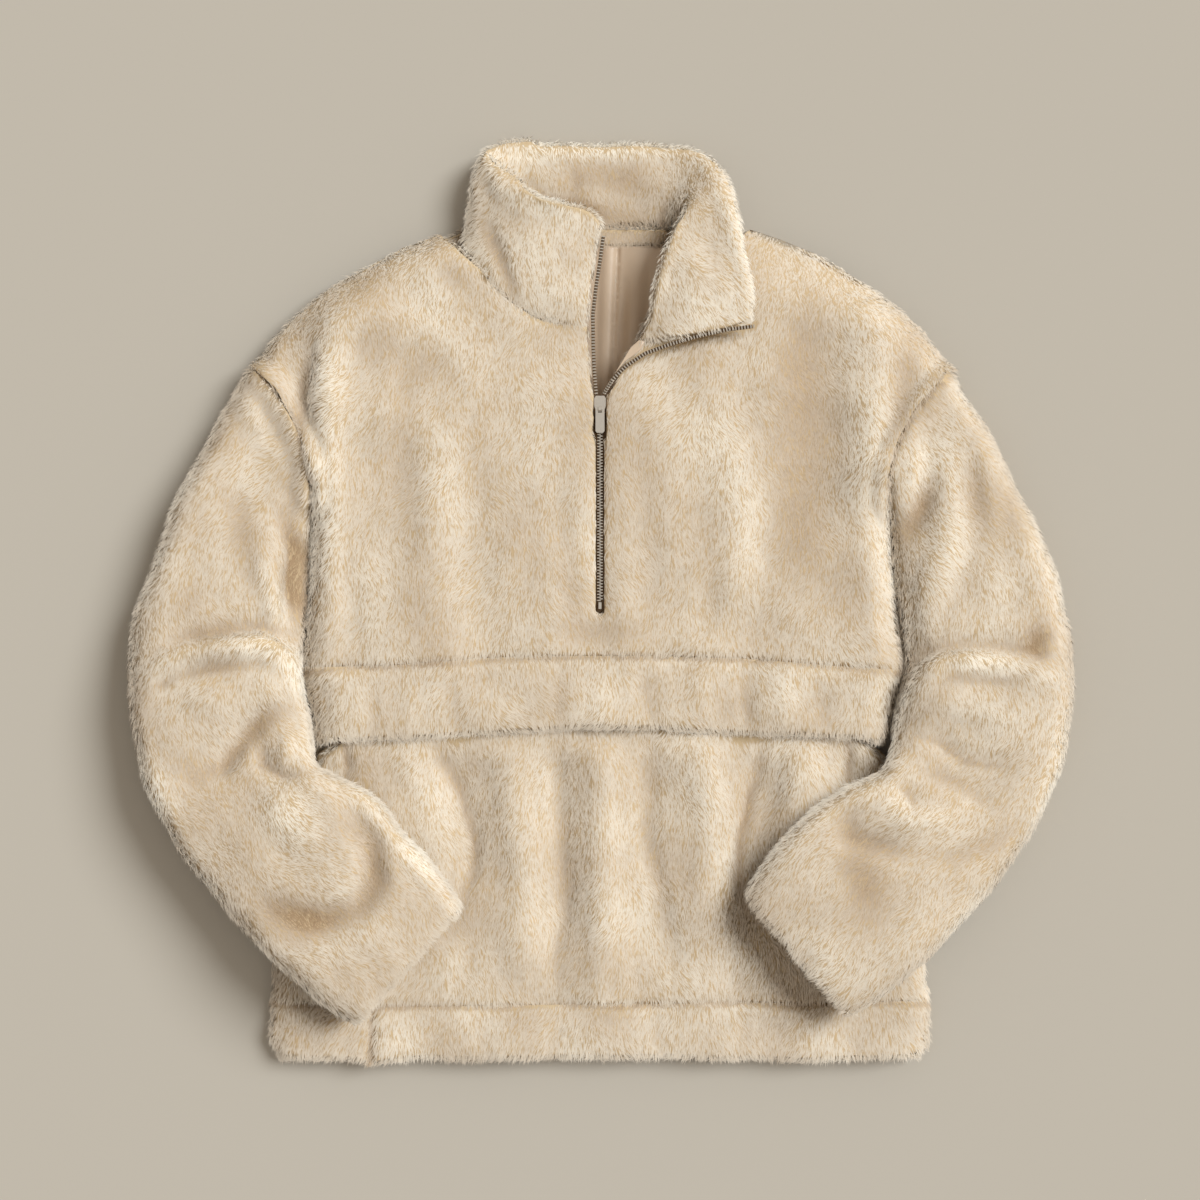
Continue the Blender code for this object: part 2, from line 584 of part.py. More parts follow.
def build_lower_layer():
    """Gathered lower layer, its top tucked up under the band."""
    seam = shifted(HEM_SEAM, GAP / 2)
    left = [seam[0]] + LOWER_SIDE_LEFT[1:]
    right = [seam[-1]] + LOWER_SIDE_RIGHT[1:]
    for name, middle, rows, height, thickness, flip, ease in (
            ("lower_front", [1.45] * 24, LOWER_FRONT_ROWS, lower_height, FUR, False, SEAM_EASE),
            ("lower_back", [2.4] * 6, LOWER_BACK_ROWS, lambda _, y: TUCK_Z * tuck(y), BACK_FUR, True,
             -SEAM_EASE)):
        u = spaced(EDGE_RUN + middle + EDGE_RUN[::-1])
        sides = [course([(seam, 1.0)], u), course([(LOWER_TOP, 1.0)], u),
                 rows_at(left, [left[0][1]] + rows + [left[-1][1]]),
                 rows_at(right, [right[0][1]] + rows + [right[-1][1]])]
        wall(name, [panel_grid(*sides, height, lower_seam(ease), [left, right], thickness, flip)], CREAM_FUR)


def build_hem_bands():
    """Hem band: two lengths at the front, joined near the viewer's left, and one at the back."""
    seam = shifted(HEM_SEAM, -GAP / 2)
    left = HEM_SIDE_LEFT[:-1] + [seam[0]]
    right = HEM_SIDE_RIGHT[:-1] + [seam[-1]]
    edges = [left, right]
    v = spaced([1.0, 1.8, 2.4, 2.4])
    lines = [course([(line, 1.0)], np.linspace(0, 1, 41)) for line in (HEM_EDGE, seam)]
    short, long = [], []
    for line in lines:
        y = float(np.interp(HEM_JOIN_X, line[:, 0], line[:, 1]))
        short.append([tuple(p) for p in line if p[0] < HEM_JOIN_X - SEAM_PLAY] + [(HEM_JOIN_X - GAP / 2, y)])
        long.append([(HEM_JOIN_X + GAP / 2, y)] + [tuple(p) for p in line
                                                   if p[0] > HEM_JOIN_X + SEAM_PLAY])
    for name, pair, u, outer_left, outer_right in (
            ("hem_band_front_left", short, spaced(BAND_EDGE_RUN + [2.4]), left, [p[-1] for p in short]),
            ("hem_band_front", long, spaced([2.0] * 18 + BAND_EDGE_RUN[::-1]), [p[0] for p in long],
             right)):
        wall(name, [panel_grid(course([(pair[0], 1.0)], u), course([(pair[1], 1.0)], u),
                               course([(outer_left, 1.0)], v), course([(outer_right, 1.0)], v),
                               hem_height, level(LOWER_SEAM_Z), edges)], CREAM_FUR)
    u = spaced(BAND_EDGE_RUN + [2.4] * 6 + BAND_EDGE_RUN[::-1])
    v = spaced([1, 1, 1])
    wall("hem_band_back", [panel_grid(course([(HEM_EDGE, 1.0)], u), course([(seam, 1.0)], u),
                                      course([(left, 1.0)], v), course([(right, 1.0)], v), level(0.0),
                                      level(LOWER_SEAM_Z), edges, BACK_FUR, True)], CREAM_FUR)


def body_side(y, right):
    """X of the lower layer's side at a height on the page, as a positive half width."""
    side = LOWER_SIDE_RIGHT if right else LOWER_SIDE_LEFT
    ys = [p[1] for p in side]
    return float(np.interp(y, ys, [abs(p[0]) for p in side]))


def sleeve_rest(x, y, right):
    """Level that a forearm rests on: the floor beside the body, the lower front over it."""
    inside = body_side(y, right) - abs(x)
    t = min(1.0, max(0.0, (inside + CLIMB_OUT) / CLIMB_RUN))
    below = min(1.0, max(0.0, (CLIMB_Y - y) / CLIMB_Y_RUN))
    highest = LOWER_TOP_Z + FOREARM_CLEAR
    return highest * t * t * (3 - 2 * t) * below


def build_sleeve(name, ribs, folds, right):
    """A flattened tube with open ends, laid from the armhole round the elbow to the cuff."""
    half = RING_HALF
    count = 2 * half
    grid = np.zeros((len(ribs), count, 3))
    for i, rib in enumerate(ribs):
        outer = np.array([rib.outer_x, rib.outer_y])
        inner = np.array([rib.inner_x, rib.inner_y])
        width = float(np.linalg.norm(outer - inner))
        bow = ARMHOLE_BOW * max(0.0, 1 - i / BOW_RIBS)
        square = np.array([-(inner - outer)[1], (inner - outer)[0]]) / width
        if right:
            square = -square
        for j in range(count):
            angle = 2 * pi * j / count
            s = (1 - cos(angle)) / 2
            plan = outer + (inner - outer) * s + square * bow * 4 * s * (1 - s)
            if i == 0:
                plan = plan - square * GAP
            x, y = plan
            rest = sleeve_rest(x, y, right)
            top = rib.crown + fold_height(x, y, folds)
            end_rest = sleeve_rest(*(outer if s < 0.5 else inner), right)
            middle = (max(rest, end_rest) + top) / 2 - MIDDLE_DROP
            rise = rounding(width * min(s, 1 - s), SIDE_RADIUS)
            goal = top if angle < pi + 1e-6 else rest
            grid[i, j] = (x, y, middle + (goal - middle) * (rise if 0 < j != half else 0.0))
    normals = grid_normals(grid, around=True)
    if np.mean(np.sum(normals[:, half // 2] * (0, 0, 1), axis=1)) < 0:
        normals = -normals
    for i in (0, -1):
        line = np.array([(ribs[i].outer_x, ribs[i].outer_y), (ribs[i].inner_x, ribs[i].inner_y)])
        square = horizontal_normals(line)[0]
        normals[i, :, :2] -= np.outer(normals[i, :, :2] @ square, square)
        normals[i] /= np.linalg.norm(normals[i], axis=1)[:, None]
    vertices = grid.reshape(-1, 3)
    inward = vertices - FUR * normals.reshape(-1, 3)
    faces = [(i * count + j, i * count + (j + 1) % count, (i + 1) * count + (j + 1) % count,
              (i + 1) * count + j) for i in range(len(ribs) - 1) for j in range(count)]
    if not right:
        faces = [tuple(reversed(face)) for face in faces]
    close_wall(name, vertices, inward, faces, CREAM_FUR)


def build_collar():
    """Funnel collar, doubled fur: closed on the viewer's left, folded out on the right."""
    stations = np.array(COLLAR, dtype=float)
    bases, tops = stations[:, :3], stations[:, 3:]
    middles = (bases + tops) / 2
    tangents = np.gradient(middles, axis=0)
    count = COLLAR_RING
    vertices = []
    for base, top, tangent in zip(bases, tops, tangents):
        rise = top - base
        height = np.linalg.norm(rise)
        up = rise / height
        out = np.cross(tangent, up)
        out /= np.linalg.norm(out)
        for k in range(count):
            angle = 2 * pi * k / count + pi / count
            s = 0.5 - 0.5 * np.sign(cos(angle)) * abs(cos(angle)) ** COLLAR_RIM_POWER
            depth = np.sign(sin(angle)) * abs(sin(angle)) ** COLLAR_SIDE_POWER * COLLAR_THICK / 2
            vertices.append(base + rise * s + out * depth)
    rows = len(stations)
    faces = [(i * count + k, i * count + (k + 1) % count, (i + 1) * count + (k + 1) % count,
              (i + 1) * count + k) for i in range(rows - 1) for k in range(count)]
    faces.append(tuple(reversed(range(count))))
    faces.append(tuple((rows - 1) * count + k for k in range(count)))
    finish("collar", vertices, [tuple(reversed(face)) for face in faces], CREAM_FUR)


def slab(name, outline, low, high, colour):
    """A flat piece between two levels, from an outline in plan."""
    count = len(outline)
    vertices = [(x, y, low) for x, y in outline] + [(x, y, high) for x, y in outline]
    faces = [tuple(reversed(range(count))), tuple(range(count, 2 * count))]
    faces += [(i, (i + 1) % count, (i + 1) % count + count, i + count) for i in range(count)]
    return finish(name, vertices, faces, colour, smooth=False)


def build_neck():
    """Fur facing of the back neck and the satin back lining below it, where the neck shows them."""
    floor = FUR + GAP
    slab("back_neck_facing", FACING, floor + GAP, floor + FACING_THICK, TAN_FUR)
    slab("back_lining", LINING, floor, floor + SATIN, SATIN_BEIGE)


def bar(name, points, width, height, colour):
    """A flat bar swept along points in plan and level."""
    points = np.array(points, float)
    square = horizontal_normals(points)
    vertices = []
    for point, side in zip(points, square):
        for across, up in ((-1, -1), (1, -1), (1, 1), (-1, 1)):
            vertices.append((point[0] + side[0] * across * width / 2,
                             point[1] + side[1] * across * width / 2, point[2] + up * height / 2))
    rows = len(points)
    faces = [(i * 4 + k, (i + 1) * 4 + k, (i + 1) * 4 + (k + 1) % 4, i * 4 + (k + 1) % 4)
             for i in range(rows - 1) for k in range(4)]
    faces += [(0, 1, 2, 3), tuple(rows * 4 - 1 - k for k in range(4))]
    finish(name, vertices, [tuple(reversed(face)) for face in faces], colour, smooth=False)


def build_zip():
    """Closed chain on its tape, both open chains, bottom stop, slider and pull tab."""
    bar("zip_chain_closed", [(0, CHAIN_TOP_Y, CHAIN_Z), (0, CHAIN_END_Y, CHAIN_Z)], CHAIN_WIDTH,
        CHAIN_HEIGHT, STEEL)
    bar("zip_stop", [(0, CHAIN_END_Y - GAP, CHAIN_Z), (0, CHAIN_END_Y - STOP_LENGTH, CHAIN_Z)],
        CHAIN_WIDTH / 2, CHAIN_HEIGHT, STEEL)
    foot = CHAIN_END_Y - TAPE_PAST
    slab("zip_tape", [(-TAPE_HALF, foot), (TAPE_HALF, foot), (TAPE_HALF, CHAIN_TOP_Y),
                      (-TAPE_HALF, CHAIN_TOP_Y)], TAPE_TOP_Z - TAPE_THICK, TAPE_TOP_Z, TAPE)
    bar("zip_chain_left", ZIP_LEFT, CHAIN_WIDTH * OPEN_CHAIN, CHAIN_HEIGHT, STEEL)
    bar("zip_chain_right", ZIP_RIGHT, CHAIN_WIDTH * OPEN_CHAIN, CHAIN_HEIGHT, STEEL)
    slab("zip_placket", PLACKET, PLACKET_LOW, PLACKET_HIGH, SATIN_BEIGE)


def build_slider():
    """Slider body with its bridge, and the pull tab hinged on the bridge's pin."""
    low = CHAIN_Z - SLIDER_HEIGHT / 2
    high = CHAIN_Z + SLIDER_HEIGHT / 2
    back = SLIDER_TOP_Y - SLIDER_LENGTH
    half = SLIDER_WIDTH / 2
    right = [(half * TAIL, back), (half, back + FLARE), (half, SLIDER_TOP_Y - SHOULDER),
             (half * NOSE, SLIDER_TOP_Y)]
    left = [(-x, y) for x, y in reversed(right)]
    slab("slider", left[-1:] + right + left[:-1], low, high, STEEL)
    pin_z = high + TAB_RISE
    lug = LUG_WIDTH / 2
    hole = PIN_RADIUS + PIN_PLAY
    sides = []
    steps = LUG_STEPS
    for k in range(steps):
        angle = 2 * pi * k / steps
        sides.append((cos(angle), sin(angle)))
    rim = [(PIN_Y + hole * c, pin_z + hole * s) for c, s in sides]
    reach = TAB_RISE - GAP
    shell = [(PIN_Y + reach * max(-1, min(1, LUG_SQUARE * c)),
              pin_z + reach * max(-1, min(1, LUG_SQUARE * s))) for c, s in sides]
    vertices = []
    for x in (-lug, lug):
        vertices += [(x, y, z) for y, z in rim] + [(x, y, z) for y, z in shell]
    faces = []
    for k in range(steps):
        n = (k + 1) % steps
        faces += [(k, n, steps + n, steps + k), (2 * steps + k, 3 * steps + k, 3 * steps + n, 2 * steps + n),
                  (n, k, 2 * steps + k, 2 * steps + n), (steps + k, steps + n, 3 * steps + n, 3 * steps + k)]
    finish("slider_bridge", vertices, faces, STEEL, smooth=False)
    build_tab(pin_z)


def build_tab(pin_z):
    """Pull tab: a plain plate with two arms joined by the pin, its origin on the pin."""
    arm = (TAB_WIDTH - LUG_WIDTH - 2 * TAB_PLAY) / 2
    inner = LUG_WIDTH / 2 + TAB_PLAY
    outer = inner + arm
    half = TAB_THICK / 2
    pin = PIN_RADIUS * TAB_PIN
    cut = bpy.data.meshes.new("pull_tab")
    tab = bpy.data.objects.new("pull_tab", cut)
    bpy.context.collection.objects.link(tab)
    outline = [(-outer, TAB_HEAD), (-inner, TAB_HEAD), (-inner, pin), (inner, pin), (inner, TAB_HEAD),
               (outer, TAB_HEAD), (outer, -TAB_LENGTH + TAB_CORNER_Y),
               (outer - TAB_CORNER, -TAB_LENGTH), (-outer + TAB_CORNER, -TAB_LENGTH),
               (-outer, -TAB_LENGTH + TAB_CORNER_Y)]
    hole = [(-inner, -pin), (inner, -pin), (inner, -TAB_FORK), (-inner, -TAB_FORK)]
    loops = outline + hole
    count = len(loops)
    vertices = [(x * MM, y * MM, -half * MM) for x, y in loops] + [(x * MM, y * MM, half * MM)
                                                                   for x, y in loops]
    top = [(0, 1, 2, 10), (2, 3, 11, 10), (3, 4, 5, 11), (0, 10, 13, 9), (11, 5, 6, 12),
           (13, 12, 6, 7), (9, 13, 7, 8)]
    faces = [tuple(i + count for i in reversed(face)) for face in top] + list(top)
    ring = list(range(10))
    faces += [(a, a + count, b + count, b) for a, b in zip(ring, ring[1:] + ring[:1])]
    inside = [10, 11, 12, 13]
    faces += [(b, b + count, a + count, a) for a, b in zip(inside, inside[1:] + inside[:1])]
    cut.from_pydata(vertices, [], faces)
    cut.materials.append(material("pull_tab", STEEL))
    tab.location = (0.0, PIN_Y * MM, pin_z * MM)


def main():
    """Clear the scene and build every piece."""
    for old in list(bpy.data.objects):
        bpy.data.objects.remove(old, do_unlink=True)
    build_upper_back()
    build_upper_front()
    build_upper_bands()
    build_lower_layer()
    build_hem_bands()
    build_sleeve("sleeve_left", LEFT_SLEEVE, LEFT_SLEEVE_FOLDS, right=False)
    build_sleeve("sleeve_right", RIGHT_SLEEVE, RIGHT_SLEEVE_FOLDS, right=True)
    build_collar()
    build_neck()
    build_zip()
    build_slider()


main()
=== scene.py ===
"""Looks of a cream faux fur half-zip pullover lying flat on a pale floor.

Lengths in the tables are millimetres in the frame's axes: +X to the viewer's right, +Y to the collar,
+Z up from the floor. Each fur piece is a creased shell on its solid's form with a mesh of pile blades.
"""
import logging
from dataclasses import dataclass, field
from enum import Enum
from math import cos, pi, radians, sin
from typing import Dict, Iterable, List, Optional, Sequence, Tuple, Union

import bmesh
import bpy
import numpy as np
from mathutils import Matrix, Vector
from mathutils.bvhtree import BVHTree


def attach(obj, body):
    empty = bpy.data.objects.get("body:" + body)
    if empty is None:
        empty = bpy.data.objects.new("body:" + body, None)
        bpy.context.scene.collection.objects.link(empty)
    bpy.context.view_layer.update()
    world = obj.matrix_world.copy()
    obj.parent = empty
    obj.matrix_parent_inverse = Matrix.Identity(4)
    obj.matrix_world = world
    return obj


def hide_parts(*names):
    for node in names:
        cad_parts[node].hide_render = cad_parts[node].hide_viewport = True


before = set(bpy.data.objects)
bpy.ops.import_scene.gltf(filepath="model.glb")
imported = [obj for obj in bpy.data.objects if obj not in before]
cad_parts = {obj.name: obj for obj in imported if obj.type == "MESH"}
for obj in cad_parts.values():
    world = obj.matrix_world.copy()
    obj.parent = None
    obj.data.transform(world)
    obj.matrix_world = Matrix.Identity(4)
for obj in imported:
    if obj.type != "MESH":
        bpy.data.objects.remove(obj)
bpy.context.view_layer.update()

LOG = logging.getLogger("pullover")
MM = 0.001
BAKE_MAP = "OFBake"
FLOOR = "floor"
WELD = 0.00003  # metres
TINY = 1e-9
NO_AREA = 1e-12
CM2_PER_M2 = 1e4
GUIDE_SOFTNESS = 0.0004  # square metres
GUIDE_FALL = 1.5
BYTE = 255
TOE = 0.055
GAMMA = 2.4
LOOK_AHEAD = 0.4
SEAM_WIDTH = 3.6  # millimetres
FILLING_WIDTH = 17.0  # millimetres
UP = np.array((0.0, 0.0, 1.0))

Array = np.ndarray
Triple = Tuple[float, float, float]
Line = Tuple[Tuple[float, float], ...]
Path = Sequence[Triple]
Colour = Triple
Value = Union["Wire", float, Colour]


# ---------------------------------------------------------------- shader maths


class Wire:
    """A node socket that adds its maths nodes when it stands in an expression."""

    def __init__(self, graph: "Graph", socket: bpy.types.NodeSocket) -> None:
        """Wrap a socket.

        Args:
            graph: The graph it is in.
            socket: The socket.
        """
        self.graph = graph
        self.socket = socket

    def _math(self, operation: str, other: Value) -> "Wire":
        """Add one Math node.

        Args:
            operation: The node's operation.
            other: Its second value.

        Returns:
            The node's result.
        """
        return self.graph.node("ShaderNodeMath", {"operation": operation}, {0: self, 1: other})

    def __add__(self, other: Value) -> "Wire":
        """self + other."""
        return self._math("ADD", other)

    def __mul__(self, other: Value) -> "Wire":
        """self * other."""
        return self._math("MULTIPLY", other)


class Graph:
    """The node tree of one material."""

    def __init__(self, name: str) -> None:
        """Start a material with a Principled shader.

        Args:
            name: The material's name.
        """
        self.material = bpy.data.materials.new(name)
        self.material.use_nodes = True
        self.tree = self.material.node_tree
        self.shader = self.tree.nodes["Principled BSDF"]

    def node(self, kind: str, settings: Optional[Dict[str, object]] = None,
             inputs: Optional[Dict[Union[int, str], Value]] = None, output: Union[int, str] = 0) -> Wire:
        """Add a node.

        Args:
            kind: The node's type.
            settings: Its properties, set first.
            inputs: Values or wires for its sockets.
            output: Which of its outputs to return.

        Returns:
            The chosen output.
        """
        made = self.tree.nodes.new(kind)
        for key, value in (settings or {}).items():
            setattr(made, key, value)
        for key, value in (inputs or {}).items():
            self.set(made.inputs[key], value)
        return Wire(self, made.outputs[output])

    def set(self, socket: bpy.types.NodeSocket, value: Value) -> None:
        """Give a socket a value or a wire.

        Args:
            socket: The socket.
            value: A number, a colour or a wire.
        """
        if isinstance(value, Wire):
            self.tree.links.new(value.socket, socket)
        elif isinstance(value, tuple) and socket.type == "RGBA":
            socket.default_value = (*value, 1.0)
        else:
            socket.default_value = value

    def place(self) -> Wire:
        """The shaded point in the object's own axes."""
        return self.node("ShaderNodeTexCoord", None, None, "Object")

    def mix(self, share: Value, first: Value, second: Value) -> Wire:
        """Blend two colours.

        Args:
            share: How much of the second.
            first: A colour.
            second: A colour.

        Returns:
            The blended colour.
        """
        return self.node("ShaderNodeMix", {"data_type": "RGBA"}, {"Factor": share, 6: first, 7: second}, 2)

    def principled(self, **values: Value) -> None:
        """Set the shader's sockets.

        Args:
            values: Values by socket name, with underscores for its spaces.
        """
        for key, value in values.items():
            self.set(self.shader.inputs[key.replace("_", " ")], value)

    def bump(self, height: Wire, strength: float, distance: float) -> None:
        """Feed the shader's normal from a height.

        Args:
            height: The height.
            strength: The node's strength.
            distance: Its distance in metres.
        """
        self.principled(Normal=self.node("ShaderNodeBump", None, {
            "Strength": strength, "Distance": distance, "Height": height}))


def srgb(red: int, green: int, blue: int) -> Colour:
    """A colour as seen on screen, from 0 to 255, in linear light."""
    return tuple(((level / BYTE + TOE) / (1 + TOE)) ** GAMMA for level in (red, green, blue))


# ---------------------------------------------------------------- finishes


@dataclass(frozen=True)
class Finish:
    """A material and the nodes that give it its look."""

    name: str

    def build(self) -> bpy.types.Material:
        """Make the material.

        Returns:
            The material.
        """
        graph = Graph(self.name)
        self.dress(graph)
        return graph.material

    def dress(self, graph: Graph) -> None:
        """Add the nodes to a tree."""
        raise NotImplementedError(graph)


@dataclass(frozen=True)
class PileFinish(Finish):
    """Pile blades: colour runs from root to tip across the map, and from tan to cream up it; darker roots
    paint the shade deep in the pile, and the tan and cream ends carry the creases' painted shade and light.
    """

    name: str = "fur_pile"
    root: Colour = srgb(160, 128, 92)
    root_light: Colour = srgb(237, 221, 193)
    tip: Colour = srgb(179, 149, 112)
    tip_light: Colour = srgb(252, 244, 229)
    tip_from: float = 0.75
    roughness: float = 0.62
    sheen: float = 0.5
    specular: float = 0.25
    strand_scale: float = 260.0
    strand_low: float = 0.3
    strand_high: float = 0.7
    strand_darkest: float = 0.95
    strand_lightest: float = 1.03

    def dress(self, graph: Graph) -> None:
        """Colour the blades along and across the map.

        Args:
            graph: The material's node tree.
        """
        place = graph.node("ShaderNodeUVMap", {"uv_map": BAKE_MAP})
        along = graph.node("ShaderNodeSeparateXYZ", None, {0: place}, "X")
        tone = graph.node("ShaderNodeSeparateXYZ", None, {0: place}, "Y")
        # Darker roots are painted shade deep in the pile; tone mixes tan toward cream, random variation plus
        # painted shade and light from the creases.
        root = graph.mix(tone, self.root, self.root_light)
        tip = graph.mix(tone, self.tip, self.tip_light)
        rise = graph.node("ShaderNodeMapRange", {"interpolation_type": "SMOOTHSTEP"},
                          {"Value": along, "From Min": 0.0, "From Max": self.tip_from})
        colour = graph.mix(rise, root, tip)
        strands = graph.node("ShaderNodeTexNoise", {"noise_dimensions": "1D"},
                             {"W": tone * self.strand_scale, "Scale": 1.0, "Detail": 1.0})
        shade = graph.node("ShaderNodeMapRange", None,
                           {"Value": strands, "From Min": self.strand_low, "From Max": self.strand_high,
                            "To Min": self.strand_darkest, "To Max": self.strand_lightest})
        shaded = graph.node("ShaderNodeVectorMath", {"operation": "SCALE"}, {0: colour, "Scale": shade})
        graph.principled(Base_Color=shaded, Roughness=self.roughness, Sheen_Weight=self.sheen,
                         Specular_IOR_Level=self.specular)


@dataclass(frozen=True)
class GroundFinish(Finish):
    """Fur fabric under the pile: tan, streaked along the nap, seen between the blades."""

    name: str = "fur_ground"
    dark: Colour = srgb(190, 162, 122)
    light: Colour = srgb(224, 204, 170)
    stretch: Triple = (1.0, 0.22, 1.0)
    streak_scale: float = 620.0
    streak_share: float = 0.6
    patch_scale: float = 26.0
    patch_share: float = 0.4
    relief: float = 0.4
    depth: float = 0.001

    def dress(self, graph: Graph) -> None:
        """Streak the fabric along its nap.

        Args:
            graph: The material's node tree.
        """
        place = graph.place()
        stretched = graph.node("ShaderNodeVectorMath", {"operation": "MULTIPLY"}, {0: place, 1: self.stretch})
        streaks = graph.node("ShaderNodeTexNoise", None, {
            "Vector": stretched, "Scale": self.streak_scale, "Detail": 3.0, "Roughness": 0.6})
        patches = graph.node("ShaderNodeTexNoise", None, {
            "Vector": place, "Scale": self.patch_scale, "Detail": 2.0})
        share = streaks * self.streak_share + patches * self.patch_share
        graph.principled(Base_Color=graph.mix(share, self.dark, self.light), Roughness=0.9,
                         Sheen_Weight=0.2, Specular_IOR_Level=0.2)
        graph.bump(streaks, self.relief, self.depth)


@dataclass(frozen=True)
class SatinFinish(Finish):
    """Pinkish beige satin lining: a soft gloss over a very fine weave."""

    name: str = "satin"
    colour: Colour = srgb(222, 198, 172)
    shade: Colour = srgb(206, 181, 153)
    weave_scale: float = 900.0
    cloud_scale: float = 18.0
    relief: float = 0.08
    depth: float = 0.0002

    def dress(self, graph: Graph) -> None:
        """Cloud the colour and weave the surface.

        Args:
            graph: The material's node tree.
        """
        place = graph.place()
        weave = graph.node("ShaderNodeTexWave", {"wave_type": "BANDS", "bands_direction": "DIAGONAL"},
                           {"Vector": place, "Scale": self.weave_scale, "Distortion": 1.5})
        cloud = graph.node("ShaderNodeTexNoise", None, {
            "Vector": place, "Scale": self.cloud_scale, "Detail": 2.0})
        graph.principled(Base_Color=graph.mix(cloud, self.shade, self.colour), Roughness=0.38,
                         Sheen_Weight=0.3, Specular_IOR_Level=0.5)
        graph.bump(weave, self.relief, self.depth)


@dataclass(frozen=True)
class TapeFinish(Finish):
    """Woven zip tape in a muted brown."""

    name: str = "zip_tape_cloth"
    colour: Colour = srgb(140, 116, 90)
    shade: Colour = srgb(108, 88, 66)
    weave_scale: float = 1800.0
    relief: float = 0.4
    depth: float = 0.0002

    def dress(self, graph: Graph) -> None:
        """Weave the tape in two browns.

        Args:
            graph: The material's node tree.
        """
        place = graph.place()
        weave = graph.node("ShaderNodeTexChecker", None, {"Vector": place, "Scale": self.weave_scale}, "Fac")
        graph.principled(Base_Color=graph.mix(weave, self.shade, self.colour), Roughness=0.85)
        graph.bump(weave, self.relief, self.depth)


@dataclass(frozen=True)
class MetalFinish(Finish):
    """Nickel-grey zip metal, brushed along its length and duller in its scratches."""

    name: str = "zip_metal"
    colour: Colour = srgb(236, 228, 216)
    dark: Colour = srgb(204, 196, 184)
    roughness: float = 0.24
    scratch_roughness: float = 0.2
    metallic: float = 0.75
    stretch: Triple = (6.0, 0.6, 1.0)
    line_scale: float = 700.0
    relief: float = 0.12
    depth: float = 0.0001

    def dress(self, graph: Graph) -> None:
        """Brush the metal with fine lines.

        Args:
            graph: The material's node tree.
        """
        place = graph.place()
        brushed = graph.node("ShaderNodeVectorMath", {"operation": "MULTIPLY"}, {0: place, 1: self.stretch})
        lines = graph.node("ShaderNodeTexNoise", None, {
            "Vector": brushed, "Scale": self.line_scale, "Detail": 3.0})
        graph.principled(Base_Color=graph.mix(lines, self.dark, self.colour), Metallic=self.metallic,
                         Roughness=lines * self.scratch_roughness + self.roughness)
        graph.bump(lines, self.relief, self.depth)


@dataclass(frozen=True)
class FloorFinish(Finish):
    """Plain pale floor."""

    name: str = "floor_paint"
    colour: Colour = srgb(194, 186, 173)

    def dress(self, graph: Graph) -> None:
        """Paint it."""
        graph.principled(Base_Color=self.colour, Roughness=0.9, Specular_IOR_Level=0.1)


# ---------------------------------------------------------------- shapes


def unit(vectors: Array) -> Array:
    """Scale rows to length one."""
    return vectors / np.maximum(np.linalg.norm(vectors, axis=1), TINY)[:, None]


def nearest_on(line: Line, points: Array) -> Tuple[Array, Array, Array]:
    """Find the nearest places on a line in plan.

    Args:
        line: Its points, in millimetres.
        points: Where from, in millimetres.

    Returns:
        The squared distances, the places from 0 to 1 along the line, and the ways to them.
    """
    nearest = np.full(len(points), np.inf)
    place = np.zeros(len(points))
    toward = np.zeros((len(points), 2))
    run = 0.0
    for begin, end in zip(np.array(line, float), np.array(line[1:], float)):
        step = end - begin
        length = float(np.hypot(*step))
        t = np.clip((points[:, :2] - begin) @ step / length ** 2, 0.0, 1.0)
        away = begin + t[:, None] * step - points[:, :2]
        far = (away ** 2).sum(axis=1)
        closer = far < nearest
        nearest = np.where(closer, far, nearest)
        place = np.where(closer, run + t * length, place)
        toward = np.where(closer[:, None], away, toward)
        run += length
    return nearest, place / run, toward


@dataclass(frozen=True)
class Stroke:
    """A soft trough (negative lift) or ridge along a line in plan, with the pile's tone there: a negative
    tone paints shade into it, a positive one paints light onto it, and at seams it darkens the sewn line.

    Points, width and lift are in millimetres. Fade is the share of the line over which an end weakens.
    """

    points: Line
    width: float
    lift: float
    tone: float = 0.0
    fade: float = 0.3

    END_SHARE = 0.25

    def share(self, points: Array) -> Array:
        """How far the stroke counts at points.

        Args:
            points: Where, in millimetres.

        Returns:
            One on its line, falling to zero at its width.
        """
        nearest, place, _ = nearest_on(self.points, points)
        share = np.clip(1 - nearest / self.width ** 2, 0.0, None) ** 2
        if self.fade > 0:
            ends = np.clip(np.minimum(place, 1 - place) / self.fade, 0.0, 1.0)
            share = share * (self.END_SHARE + (1 - self.END_SHARE) * ends)
        return share


class Ripple:
    """Smooth seeded noise: a sum of plane waves about one wavelength long."""

    WAVES = 14
    SPREAD = (0.6, 1.7)
    PEAK = 1.4

    def __init__(self, seed: int, wavelength: float) -> None:
        """Choose the waves.

        Args:
            seed: The random seed.
            wavelength: Their mean length in metres.
        """
        draw = np.random.default_rng(seed)
        direction = unit(draw.normal(size=(self.WAVES, 3)))
        lengths = wavelength * draw.uniform(*self.SPREAD, self.WAVES)
        self.waves = direction * (2 * pi / lengths)[:, None]
        self.phase = draw.uniform(0, 2 * pi, self.WAVES)

    def at(self, points: Array) -> Array:
        """Noise at points, mostly from -1 to 1."""
        return np.sin(points @ self.waves.T + self.phase).sum(axis=1) / (self.WAVES / 2) ** 0.5 / self.PEAK


def ripples(seed: int, rows: Sequence[Tuple[int, float, float]], points: Array) -> Array:
    """Add up ripples.

    Args:
        seed: The piece's random seed.
        rows: Each ripple's own shift of the seed, wavelength in metres, and size.
        points: Where, in metres.

    Returns:
        Their sum at each point.
    """
    return sum(Ripple(seed + shift, wavelength).at(points) * size for shift, wavelength, size in rows)


